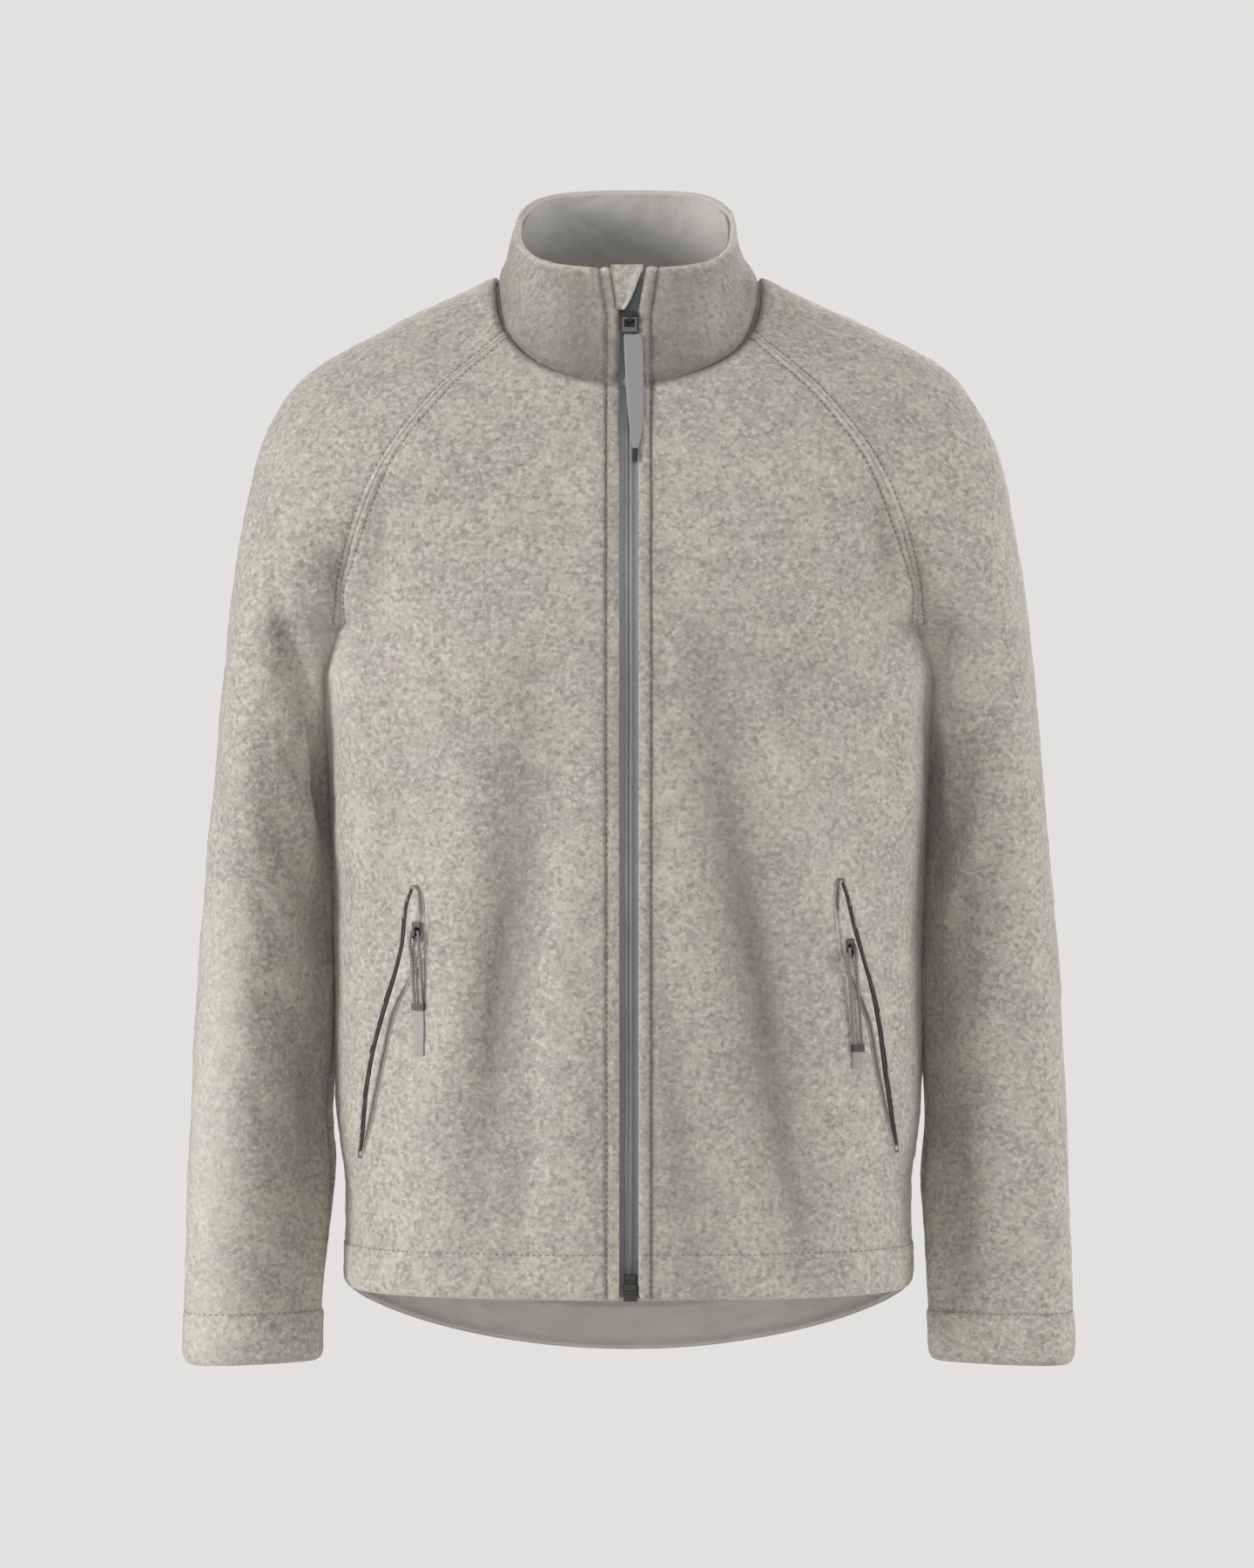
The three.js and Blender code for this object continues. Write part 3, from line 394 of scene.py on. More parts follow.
def nap(points):
    """The pile's own unevenness: small clumps, and a slow wander of the cloth."""
    return 0.3 * waves(points, 7, 3) + 0.35 * waves(points, 16, 9) + 0.9 * waves(points, 75, 5)


def mirrored(points, side):
    """Points of the left side, or their mirror image on the right."""
    return points * [side, 1, 1]


def wall_faces(base, normal, lift, thick, *edges):
    """A wall's outer and inner face. Its middle lies half its thickness under the lifted surface, and both faces close
    on it at the edges, by the least share that they give."""
    half = thick / 2 * np.minimum.reduce(edges)
    return [base + normal * (lift - thick / 2 + out)[..., None] for out in (half, -half)]


def shell(name, outer, inner, side=1, closed=None, shade_and_press=None):
    """A closed wall from its outer and inner grids, mirrored where side is -1, with the cloth's own millimetres as its
    UV map. Rows where closed is true join up round a tube. The outer face and the edges are the first material, the
    inner face the second. The last argument holds painted shade and light for the points: over 0 it is painted shade,
    in a fold's bottom and along seams, partly real flattened pile under stitches, and under 0 a painted highlight on a
    ridge."""
    rows, columns = outer.shape[:2]
    index = np.arange(2 * rows * columns).reshape(2, rows, columns)
    closed = np.zeros(rows, bool) if closed is None else closed
    index[:, closed, -1] = index[:, closed, 0]
    quad = [index[:, :-1, :-1], index[:, :-1, 1:], index[:, 1:, 1:], index[:, 1:, :-1]]
    faces = np.stack(quad, -1)
    out, back = faces[0].reshape(-1, 4), faces[1].reshape(-1, 4)[:, ::-1]
    first, last = index[:, 0], index[:, -1]
    foot = np.stack([first[1, :-1], first[1, 1:], first[0, 1:], first[0, :-1]], -1)
    head = np.stack([last[0, :-1], last[0, 1:], last[1, 1:], last[1, :-1]], -1)
    apart = ~(closed[:-1] & closed[1:])
    left, right = index[:, :, 0], index[:, :, -1]
    start = np.stack([left[0, :-1], left[0, 1:], left[1, 1:], left[1, :-1]], -1)[apart]
    end = np.stack([right[1, :-1], right[1, 1:], right[0, 1:], right[0, :-1]], -1)[apart]
    faces = np.concatenate([out, foot, head, start, end, back])
    lining = np.zeros(len(faces), int)
    lining[len(faces) - len(back) :] = 1
    points = mirrored(np.stack([outer, inner]).reshape(-1, 3), side)
    across, up = reach_along(outer, 1)[0], reach_along(outer, 0)[0]
    across = across - across[:, columns // 2 : columns // 2 + 1]
    cloth = np.tile(np.stack([across, up], -1).reshape(-1, 2), (2, 1))
    if side < 0:
        faces = faces[:, ::-1]
    press_and_shade = None if shade_and_press is None else np.tile(np.clip(shade_and_press, -1, 1).ravel(), 2)
    return solid_mesh(name, points, faces, lining, cloth, press_and_shade)


def solid_mesh(name, points, faces, lining=None, cloth=None, press_and_shade=None):
    """A smooth mesh object from points in millimetres. Points that no face uses are left out, and so are faces that
    have shrunk to a line."""
    order = np.sort(faces, axis=1)
    whole = (order[:, 1:] != order[:, :-1]).sum(1) >= faces.shape[1] - 2
    faces = faces[whole]
    used, place = np.unique(faces, return_inverse=True)
    faces = place.reshape(faces.shape)
    tidy = [list(dict.fromkeys(face)) for face in faces.tolist()]
    mesh = bpy.data.meshes.new(name)
    mesh.from_pydata((points[used] * 0.001).tolist(), [], tidy)
    if lining is not None:
        mesh.polygons.foreach_set("material_index", lining[whole].astype(np.int32))
    if cloth is not None:
        corners = np.empty(len(mesh.loops), np.int32)
        mesh.loops.foreach_get("vertex_index", corners)
        layer = mesh.uv_layers.new(name="cloth")
        layer.data.foreach_set("uv", (cloth[used] * 0.001)[corners].astype(np.float32).ravel())
    # The points' painted shade and light, which the materials darken or lighten the colour by.
    if press_and_shade is not None:
        layer = mesh.attributes.new("shade_and_press", "FLOAT", "POINT")
        layer.data.foreach_set("value", press_and_shade[used].astype(np.float32))
    mesh.polygons.foreach_set("use_smooth", np.ones(len(mesh.polygons), bool))
    mesh.update()
    piece = bpy.data.objects.new(name, mesh)
    scene.collection.objects.link(piece)
    return piece


def painted_shade_and_press(folds, *lines):
    """Painted shade and light: painted shade in the folds' troughs and a painted highlight on their ridges, by their
    depth in millimetres, and lines along seams, each a strength, the distance from it, its middle and its width:
    painted shade where the strength is over 0, partly real flattened pile under stitches, and painted light where it
    is under 0."""
    press_and_shade = np.clip(folds / 11, -0.7, 0.8)
    for strength, distance, middle_mm, width in lines:
        press_and_shade = press_and_shade + strength * bell(distance, middle_mm, width)
    return press_and_shade


def seam_lines(v, from_seam, from_neck):
    """The seams' painted shade and light: painted shade along the neck seam, in the seam and under the raglan's
    stitches, where the pile is also a little flattened, and a painted highlight on its raised allowance between them."""
    yoke = yoke_share(v)
    stitches, allowance = (0.3 * yoke, from_seam, RAGLAN_STITCH, 1.2), (-0.5 * yoke, from_seam, 1.7, 1.6)
    return (1.1, from_neck, 0, 3.2), (0.4, from_seam, 0, 0.8), stitches, allowance


def dyed(tree, ground, *layers):
    """The ground's colour with others over it. Each layer has the socket that its share comes from, its colour, the
    range of values over which the share rises, and the most that it reaches."""
    below = {"in_6": rgba(ground)}
    links = []
    for source, colour, low, high, most in layers:
        share = node(tree, "ShaderNodeMapRange", [("Value", source)], in_1=low, in_2=high, in_4=most)
        links = [("Factor", share.outputs[0]), *links]
        mixed = node(tree, "ShaderNodeMix", links, data_type="RGBA", in_7=rgba(colour), **below)
        below, links = {}, [(6, mixed.outputs[2])]
    return mixed.outputs[2]


def surfaced(surface, colour, height=None, relief=(0, 0), **finish):
    """Joins a colour and a finish to a material's surface. relief is how strongly a height shows, and its metres."""
    tree = surface.id_data
    links = [("Base Color", colour)]
    if height is not None:
        raised = node(tree, "ShaderNodeBump", [("Height", height)], in_Strength=relief[0], in_Distance=relief[1])
        links.append(("Normal", raised.outputs[0]))
    tree.links.new(surface, node(tree, "ShaderNodeBsdfPrincipled", links, **finish).outputs[0])


def melange_fleece():
    """Sweater fleece knitted from light and dark yarns and brushed: a soft speckle a few millimetres across over slow
    patches of warmer and greyer cloth. The pile scatters light, so it is matt, with a faint sheen at the edges. Over
    that lie painted shade, darker in folds and along seams, and painted highlights, lighter on ridges and edges."""
    material, tree, surface = new_material("melange_fleece")
    where = node(tree, "ShaderNodeTexCoord").outputs["Object"]
    shade_and_press = node(tree, "ShaderNodeAttribute", attribute_name="shade_and_press").outputs["Fac"]

    def cloud(scale, detail, stretch=(1, 1, 1), shift=(0, 0, 0)):
        moved = node(tree, "ShaderNodeMapping", [("Vector", where)], in_Scale=stretch, in_Location=shift)
        links = [("Vector", moved.outputs[0])]
        return node(tree, "ShaderNodeTexNoise", links, in_Scale=scale, in_Detail=detail, in_Roughness=0.6).outputs[0]

    colour = dyed(
        tree, "#b7b5a5",
        (cloud(20, 3), "#aca69e", 0.4, 0.62, 1),
        (cloud(62, 4, shift=(3, 1, 2)), "#98938b", 0.4, 0.64, 0.62),
        (cloud(230, 3, (1, 1, 1.15)), "#7b776e", 0.45, 0.67, 0.66),
        (cloud(270, 3, (1, 1, 1.2), (1, 5, 2)), "#d1cfc1", 0.47, 0.7, 0.66),
        # Painted shade where the points' shade values are over 0, and painted highlights where they are under 0.
        (shade_and_press, "#6c6762", 0, 1, 0.75),
        (shade_and_press, "#d8d6ca", 0, -1, 0.4),
    )
    pile = node(tree, "ShaderNodeMath", [(0, cloud(420, 3, (1, 1, 0.8))), (1, cloud(150, 2))], operation="ADD")
    surfaced(
        surface, colour, pile.outputs[0], (0.5, 0.0016),
        in_Roughness=0.95, in_IOR=1.46, in_Sheen_Weight=0.25, in_Sheen_Roughness=0.55,
    )
    return material


def jersey_back():
    """The fleece's smooth knitted inner face: greyer and even, with painted shade where the points' shade values run
    high, as along the hem's bottom edge, and with wales 2.4 mm apart, coarser than the real ones so that they show."""
    material, tree, surface = new_material("jersey_back")
    where = node(tree, "ShaderNodeUVMap", uv_map="cloth").outputs[0]
    wales = node(
        tree, "ShaderNodeTexWave", [("Vector", where)],
        wave_type="BANDS", bands_direction="X", in_Scale=130.0, in_Distortion=1.2, in_Detail=2.0,
    )
    spots = node(tree, "ShaderNodeTexNoise", [("Vector", where)], in_Scale=45.0, in_Detail=3.0).outputs[0]
    shade_and_press = node(tree, "ShaderNodeAttribute", attribute_name="shade_and_press").outputs["Fac"]
    colour = dyed(tree, "#b6b4ae", (spots, "#c6c4bd", 0, 1, 1), (shade_and_press, "#6c6762", 0.6, 1, 0.8))
    surfaced(surface, colour, wales.outputs[1], (0.14, 0.0005), in_Roughness=0.9, in_Sheen_Weight=0.1)
    return material


fleece, jersey = melange_fleece(), jersey_back()
BODY_ROWS = np.concatenate([stations((36 / BODY_MM, 26), (0.99, 140)), 1 + stations((0.965, 84), (0.999, 8))])
FRONT_COLUMNS = stations((0.072, 20), (0.94, 80), (1, 14))


def front_grid(side):
    """The base surface of a front, its normals, its outer and inner faces and its painted shade and light, all drawn on
    the left side. side says whose folds it has."""
    u, v = np.meshgrid(FRONT_COLUMNS, BODY_ROWS)
    base = panel_point(FRONT, FRONT_RAGLAN, u, v, ZIP_EDGE)
    base = settled(base, [base[:, -1:]], base[:, -1:, 0] - base[..., 0], (9, 30), (6, 15, 12))
    normal = normals(base)
    from_zip, from_seam = seam_distance(base)
    from_hem, from_neck = reach_along(base, 0)
    swell, thick = turned_edge(from_hem, BODY_TURN_UP)
    folds = fold_depth(FRONT_FOLDS, side, base) * np.clip(from_seam / 16, 0, 1) ** 0.7
    lift = swell - folds + body_seams(v, from_seam, from_neck) + placket(from_zip)
    lift = lift + leaning(from_seam, base[..., 2], 14) + nap(mirrored(base, side)) * np.clip(from_seam / 6, 0, 1)
    edges = soft_edge(from_zip, FLEECE), soft_edge(from_hem, HEM_FLEECE)
    # Painted shade in the folds, along the seams, under the zip's and the hem's stitches and in a broad band beside the
    # zip, and painted highlights on the ridges and beside the side seam below the underarm.
    shade_and_press = painted_shade_and_press(
        folds, *seam_lines(v, from_seam, from_neck), (0.6, from_zip, ZIP_STITCH, 1.9), (0.18, from_zip, 6, 12),
        (0.12, from_hem, BODY_TURN_UP, 1.6), (-0.8 * bell(base[..., 2], -275, 50), from_seam, 12, 24),
    )
    return base, normal, *wall_faces(base, normal, lift, thick, *edges), shade_and_press


def dress(piece, body, slot, *replaced, materials):
    """Gives a piece its materials and its body, and hides the solids that it stands for. slot is not used."""
    for material in materials:
        piece.data.materials.append(material)
    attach(piece, body)
    if replaced:
        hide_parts(*replaced)
    return piece


front_grids = {}
for word, side in SIDES:
    base, normal, outer, inner, shade_and_press = front_grid(side)
    front_grids[side] = base, normal, outer
    piece = shell("cloth_front_" + word, outer, inner, side, shade_and_press=shade_and_press)
    dress(piece, "garment", "fleece", "front_" + word, materials=(fleece, jersey))

# The back: one piece of the same fleece, with a tail that dips below the fronts and shows its smooth inner face.
BACK_RAGLAN = table(
    "at x y z",
    [1, 196, 12, -226],
    [1.15, 195, 60, -205],
    [1.3, 187, 94, -178],
    [1.45, 173, 110, -146],
    [1.6, 154, 113, -110],
    [1.8, 116, 99, -53],
    [2, 70, 66, 10],
)
BACK = table(
    "at centre_y centre_z reach hold turn climb",
    [0, 138, -735, 108, 76, -90, 15],
    [0.35, 128, -545, 112, 74, -90, 7],
    [0.7, 128, -370, 112, 74, -90, 3],
    [1, 138, -226, 112, 82, -90, 0],
    [1.15, 139, -186, 105, 50, -80, 0],
    [1.3, 137, -150, 98, 42, -55, 0],
    [1.45, 132, -114, 88, 40, -36, 0],
    [1.6, 124, -78, 75, 38, -28, 5],
    [1.8, 107, -36, 52, 34, -32, 12],
    [2, 88, 8, 34, 30, -45, 4],
)
BACK_FOLDS = table(
    "side x0 z0 x1 z1 width depth",
    [-1, 70, -300, 104, -690, 22, 10],
    [-1, 20, -420, 34, -700, 18, -5],
    [-1, 150, -170, 118, -340, 18, 6.5],
    [-1, 128, -430, 150, -640, 14, 3],
    [-1, 40, -230, 96, -250, 16, 2],
    [-1, 46, -520, 60, -700, 10, 2.6],
    [1, 52, -280, 92, -680, 22, 10],
    [1, 152, -160, 120, -330, 18, 6.5],
    [1, 118, -400, 142, -600, 13, 3.4],
    [1, 20, -150, 80, -180, 16, 1.8],
    [1, 28, -560, 34, -710, 10, 2.6],
)

BACK_COLUMNS = stations((0.94, 78), (1, 14))
u, v = np.meshgrid(np.concatenate([-BACK_COLUMNS[:0:-1], BACK_COLUMNS])[::-1], BODY_ROWS)
side = np.where(u < 0, -1, 1)
base = panel_point(BACK, BACK_RAGLAN, np.abs(u), v, 0.0)
folds = np.where(side < 0, fold_depth(BACK_FOLDS, -1, base), fold_depth(BACK_FOLDS, 1, base))
to_seam = base[:, -1:, 0] - base[..., 0]
base[..., 0] *= side
base = settled(base, [base[:, :1], base[:, -1:]], to_seam, (9, 20), (0, 0, 1))
normal = normals(base)
from_left, from_right = seam_distance(base)
from_seam = np.minimum(from_left, from_right)
from_hem, from_neck = reach_along(base, 0)
swell, thick = turned_edge(from_hem, BODY_TURN_UP)
lift = swell - folds + body_seams(v, from_seam, from_neck)
lift = lift + leaning(from_seam, base[..., 2], 14) + nap(base) * np.clip(from_seam / 6, 0, 1)
outer, inner = wall_faces(base, normal, lift, thick, soft_edge(from_hem, HEM_FLEECE))
back_grid = base, normal, outer
# Painted shade in the folds, along the seams and the hem's stitches, and a painted dark line of shade along the hem's
# bottom edge.
shade_and_press = painted_shade_and_press(
    folds, *seam_lines(v, from_seam, from_neck), (0.12, from_hem, BODY_TURN_UP, 1.6), (1, from_hem, 0, 2.4),
)
back = dress(
    shell("cloth_back", outer, inner, shade_and_press=shade_and_press), "garment", "fleece", "back", materials=(fleece, jersey),
)

# The sleeves: each is one piece from the neck over the shoulder to the cuff, sewn up along the underarm, with its
# cuff turned up 35 mm. The cloth creases round the inside of the elbow and under the arm.
CUFF_TURN_UP = 35.0
SLEEVE_MM = 503.0
SLEEVE = table(
    "at out_x out_z in_x in_z left_in y front back",
    [0, 304.5, -729, 210.5, -727, -4.5, -24, 34, 34],
    [0.08, 304.5, -688, 210, -688, -5, -21, 38, 38],
    [0.18, 303, -625, 203.5, -625, -2, -14, 45, 46],
    [0.28, 301.5, -572, 199, -572, 0, -8, 51, 52],
    [0.5, 295.5, -450, 198.5, -450, 0, 2, 60, 63],
    [0.75, 284.5, -315, 198.5, -320, 0, 10, 67, 74],
    [1, 275.5, -226, 196.4, -226, 0, 12, 72, 80],
)
SHOULDER = table(
    "at x y z climb front_turn back_turn front_hold back_hold front_swell back_swell",
    [1, 275.5, 12, -226, 0, -90, 90, 58, 64, 135, 150],
    [1.15, 270, 11, -180, 0, -78, 78, 50, 52, 112, 120],
    [1.3, 261, 9, -129, 0, -42, 45, 48, 48, 88, 92],
    [1.45, 248, 6, -88, 0, -2, 2, 50, 48, 68, 70],
    [1.6, 223, 3, -52.5, 2, 20, -20, 46, 44, 54, 58],
    [1.8, 165, 0, -18.5, 8, 34, -30, 34, 34, 38, 42],
    [2, 92, -2, 14.5, 18, 68, -45, 24, 30, 24, 30],
)
# Creases round the sleeves: their height on the inner and outer line, where round the ring they are deepest (0 to 1,
# from the underarm over the front), how far they spread, and their width along the sleeve. The finer ones come last.
SLEEVE_FOLDS = table(
    "side in_z out_z deepest spread width depth",
    [-1, -453, -268, 0.15, 0.12, 40, 7],
    [-1, -560, -400, 0.17, 0.12, 38, 5],
    [-1, -550, -610, 0.1, 0.13, 70, 5],
    [-1, -400, -330, 0.75, 0.17, 25, 8],
    [-1, -360, -240, 0.14, 0.1, 16, 3],
    [-1, -500, -350, 0.2, 0.1, 16, 3],
    [-1, -620, -500, 0.2, 0.12, 16, 2.6],
    [-1, -690, -640, 0.25, 0.14, 14, 2.4],
    [-1, -300, -250, 0.85, 0.12, 12, 3],
    [-1, -520, -470, 0.78, 0.14, 14, 3],
    [1, -409, -220, 0.14, 0.12, 40, 7],
    [1, -510, -350, 0.16, 0.12, 38, 4.5],
    [1, -575, -640, 0.1, 0.12, 60, 4.5],
    [1, -430, -360, 0.75, 0.17, 25, 8],
    [1, -330, -230, 0.12, 0.1, 16, 2.6],
    [1, -460, -330, 0.2, 0.1, 16, 3],
    [1, -590, -480, 0.2, 0.12, 16, 2.6],
    [1, -680, -650, 0.22, 0.14, 14, 2.4],
    [1, -310, -270, 0.85, 0.12, 12, 3],
    [1, -540, -500, 0.78, 0.14, 14, 3],
)

# Troughs down the sleeves: where round the ring each one runs at its top and at its foot.
SLEEVE_TROUGHS = table(
    "side top foot top_z foot_z width depth",
    [-1, 0.27, 0.07, -200, -360, 0.04, 8],
    [-1, 0.14, 0.1, -430, -720, 0.09, 5],
    [-1, 0.36, 0.36, -440, -730, 0.07, -3],
    [-1, 0.82, 0.88, -260, -520, 0.05, 4],
    [1, 0.14, 0.2, -200, -330, 0.045, 3],
    [1, 0.15, 0.15, -450, -730, 0.09, 4.5],
    [1, 0.84, 0.78, -280, -560, 0.05, 4],
)


def sleeve_half(side, front, t, v):
    """Half a sleeve, from the underarm or its raglan seam (t 0) to its outer line (t 1), at every height v."""
    way = -1 if front else 1
    word = "front" if front else "back"
    low, high = np.minimum(v, 1), np.maximum(v, 1)
    y, swell = read(SLEEVE, "y", low), read(SLEEVE, word, low) * way
    in_x = read(SLEEVE, "in_x", low) + (read(SLEEVE, "left_in", low) if side > 0 else 0)
    aside = np.array([0, 1.0, 0])
    tube = curve(
        np.stack([in_x, y, read(SLEEVE, "in_z", low)], -1),
        (swell * 0.8)[..., None] * aside,
        (swell * 1.87)[..., None] * aside,
        np.stack([read(SLEEVE, "out_x", low), y, read(SLEEVE, "out_z", low)], -1),
        t,
    )
    rows, raglan = (FRONT, FRONT_RAGLAN) if front else (BACK, BACK_RAGLAN)
    leave = heading(read(SHOULDER, word + "_turn", high), read(rows, "climb", high))
    arrive = heading(np.full_like(v, 90.0 * way), read(SHOULDER, "climb", high) * way)
    yoke = curve(
        seam_point(raglan, high),
        leave * read(SHOULDER, word + "_hold", high)[..., None],
        arrive * read(SHOULDER, word + "_swell", high)[..., None],
        place_of(SHOULDER, high),
        t,
    )
    return np.where((v <= 1)[..., None], tube, yoke)


def sleeve_point(side, u, v):
    """A sleeve: its front half from u 0 to 0.5 and its back half from there to 1."""
    front = sleeve_half(side, True, np.minimum(u * 2, 1), v)
    back = sleeve_half(side, False, np.minimum(2 - u * 2, 1), v)
    return np.where((u <= 0.5)[..., None], front, back)


def sleeve_fold_depth(side, u, points):
    """How deep the creases and troughs are: a crease climbs from the inner to the outer line and fades round the
    ring, and a trough runs down the sleeve and fades at both ends."""
    depth = 0
    for i in np.flatnonzero(SLEEVE_FOLDS["side"] == side):
        fold = {name: column[i] for name, column in SLEEVE_FOLDS.items()}
        height = fold["in_z"] + (fold["out_z"] - fold["in_z"]) * np.clip((points[..., 0] - 198) / 90, 0, 1)
        round_it = bell(u, fold["deepest"], fold["spread"])
        depth = depth + fold["depth"] * round_it * bell(points[..., 2], height, fold["width"])
    for i in np.flatnonzero(SLEEVE_TROUGHS["side"] == side):
        fold = {name: column[i] for name, column in SLEEVE_TROUGHS.items()}
        down = (points[..., 2] - fold["top_z"]) / (fold["foot_z"] - fold["top_z"])
        middle = fold["top"] + (fold["foot"] - fold["top"]) * down
        fade = np.sin(np.pi * np.clip((down + 0.15) / 1.3, 0, 1)) ** 1.3
        depth = depth + fold["depth"] * fade * bell(u, middle, fold["width"])
    return depth


SLEEVE_ROWS = np.concatenate([stations((41 / SLEEVE_MM, 30), (1, 160)), 1 + stations((0.965, 84), (0.999, 8))[1:]])
SLEEVE_COLUMNS = stations((0.06, 12), (0.94, 84), (1, 12))
sleeve_grids = {}
for word, side in SIDES:
    u, v = np.meshgrid(SLEEVE_COLUMNS, SLEEVE_ROWS)
    base = sleeve_point(side, u, v)
    to_seam = base[..., 0] - base[:, :1, 0]
    base = settled(base, [base[:, :1], base[:, -1:]], to_seam, (9.6, 12), (-6, 26, 14))
    normal = normals(base)
    closed = SLEEVE_ROWS <= 1
    joint = unit(normal[:, 0] + normal[:, -1])
    normal[closed, 0] = normal[closed, -1] = joint[closed]
    from_first, from_last = seam_distance(base)
    from_seam = np.minimum(from_first, from_last)
    from_cuff, from_neck = reach_along(base, 0)
    swell, thick = turned_edge(from_cuff, CUFF_TURN_UP)
    yoke = yoke_share(v)
    folds = sleeve_fold_depth(side, u, base)
    # A painted highlight down the outer front of the right sleeve's lower half, on the side that the light reaches.
    pale = (-0.75 if side < 0 else 0.0) * np.clip((-380 - base[..., 2]) / 60, 0, 1)
    lift = swell - folds + raglan_relief(from_seam) * yoke
    lift = lift - 0.8 * bell(from_seam, 0, 1.4) * (1 - yoke) - 1.2 * bell(from_neck, 0, 3)
    lift = lift + leaning(from_seam, base[..., 2], 18)
    lift = lift + nap(mirrored(base, side) + 40) * np.clip(from_seam / 6, 0, 1)
    outer, inner = wall_faces(base, normal, lift, thick, soft_edge(from_cuff, HEM_FLEECE))
    sleeve_grids[side] = base, normal, outer
    # Painted shade in the folds, along the seams, under the cuff's stitches and along the cuff's bottom edge, and
    # painted highlights down the outer front and beside the seam below the underarm.
    shade_and_press = painted_shade_and_press(
        folds * 0.6, *seam_lines(v, from_seam, from_neck), (0.2, from_cuff, CUFF_TURN_UP, 1.6),
        (pale, u, 0.35, 0.09), (0.5, from_cuff, 0, 5), (-0.9 * bell(base[..., 2], -265, 50), from_seam, 16, 28),
    )
    piece = shell("cloth_sleeve_" + word, outer, inner, side, closed, shade_and_press)
    dress(piece, "garment", "fleece", "sleeve_" + word, materials=(fleece, jersey))

# The collar: a doubled stand of fleece, sewn to the neck with its seam inside, that leans in towards its open top.
# It shows its smooth inner face at the back of the neck.
COLLAR_HALF_WIDTH = 75.5
COLLAR_DEPTH = {"front": 78.0, "back": 72.0}
COLLAR_HEIGHT = {"front": 17.0, "back": 84.0}
COLLAR_SQUARENESS = {"front": 2.8, "back": 3.2}
COLLAR_LEAN = -3.0
COLLAR_THICK = 6.0
NECK_FRONT_SHARE = 0.36
NECK_SLEEVE_SHARE = 0.34
GARAGE_SPREAD = 5.0
COLLAR_TUCK = 2.0  # how far the collar's foot reaches down behind the neck edge
COLLAR_FORM = table(
    "at side front thick",
    [0, 0, 0, 5.4],
    [0.12, 0.3, -0.02, 6],
    [0.3, 0.58, 0.1, 6],
    [0.55, 0.77, 0.42, 6],
    [0.8, 0.9, 0.77, 6],
    [0.95, 0.98, 0.96, 5.6],
    [1, 1.08, 1.07, 3],
)


def neck_point(s):
    """The neck seam on the left: along the front's top edge, then the sleeve's, then the back's to its middle."""
    back_share = 1 - NECK_FRONT_SHARE - NECK_SLEEVE_SHARE
    top = np.full_like(s, 2.0)
    front = panel_point(FRONT, FRONT_RAGLAN, np.clip(s / NECK_FRONT_SHARE, 0, 1), top, ZIP_EDGE)
    past = (s - NECK_FRONT_SHARE) / NECK_SLEEVE_SHARE
    sleeve = sleeve_point(1, np.clip(past, 0, 1), top)
    last = np.clip(1 - (s - NECK_FRONT_SHARE - NECK_SLEEVE_SHARE) / back_share, 0, 1)
    back = panel_point(BACK, BACK_RAGLAN, last, top, 0.0)
    nearer = np.where((s <= NECK_FRONT_SHARE)[..., None], front, sleeve)
    return np.where((past > 1)[..., None], back, nearer)


def collar_top(angle):
    """The collar's top edge: a rounded square in plan, squarer behind, which rises evenly to the back."""
    s, c = np.sin(angle), np.cos(angle)
    depth = np.where(c > 0, COLLAR_DEPTH["front"], COLLAR_DEPTH["back"])
    power = 2 / np.where(c > 0, COLLAR_SQUARENESS["front"], COLLAR_SQUARENESS["back"])
    y = -np.sign(c) * depth * np.abs(c) ** power
    tilt = (COLLAR_HEIGHT["back"] - COLLAR_HEIGHT["front"]) / sum(COLLAR_DEPTH.values())
    z = COLLAR_HEIGHT["front"] + (COLLAR_DEPTH["front"] + y) * tilt
    return np.stack([COLLAR_HALF_WIDTH * np.abs(s) ** power, y, z], -1)


def collar_point(u, v):
    """The collar, from the zip on the left (u 0) round the back to the zip on the right (u 1), and up from the neck
    seam (v 0): each point lies a share of the way from the seam to the top edge, sooner at the sides than in front."""
    side = np.where(u < 0.5, 1.0, -1.0)
    s = 1 - np.abs(u * 2 - 1)
    foot = neck_point(s) * [0.997, 1, 1] - [0, 0, COLLAR_TUCK]
    opening = ZIP_EDGE + GARAGE_SPREAD
    start = np.arcsin((opening / COLLAR_HALF_WIDTH) ** (COLLAR_SQUARENESS["front"] / 2))
    top = collar_top(start + (np.pi - start) * s)
    aside = np.sin(np.pi * np.clip(s, 0, 1)) ** 1.5
    front = read(COLLAR_FORM, "front", v)
    inward = read(COLLAR_FORM, "side", v) * aside + front * (1 - aside)
    x = foot[..., 0] + (top[..., 0] - foot[..., 0]) * inward
    y = foot[..., 1] + (top[..., 1] - foot[..., 1]) * inward
    z = foot[..., 2] + (top[..., 2] - foot[..., 2]) * v
    straight = ZIP_EDGE + (opening - ZIP_EDGE) * front
    wanted = ZIP_EDGE + GARAGE_SPREAD * np.clip((v - 0.6) / 0.4, 0, 1)
    x = x + np.where(s < 0.1, (wanted - straight) * (1 - s / 0.1), 0)
    x = np.where(s >= 1, 0, x * side)
    x = x + COLLAR_LEAN * np.sin(np.pi * np.minimum(1, v * 0.8)) * aside
    return np.stack([x, y, z], -1)


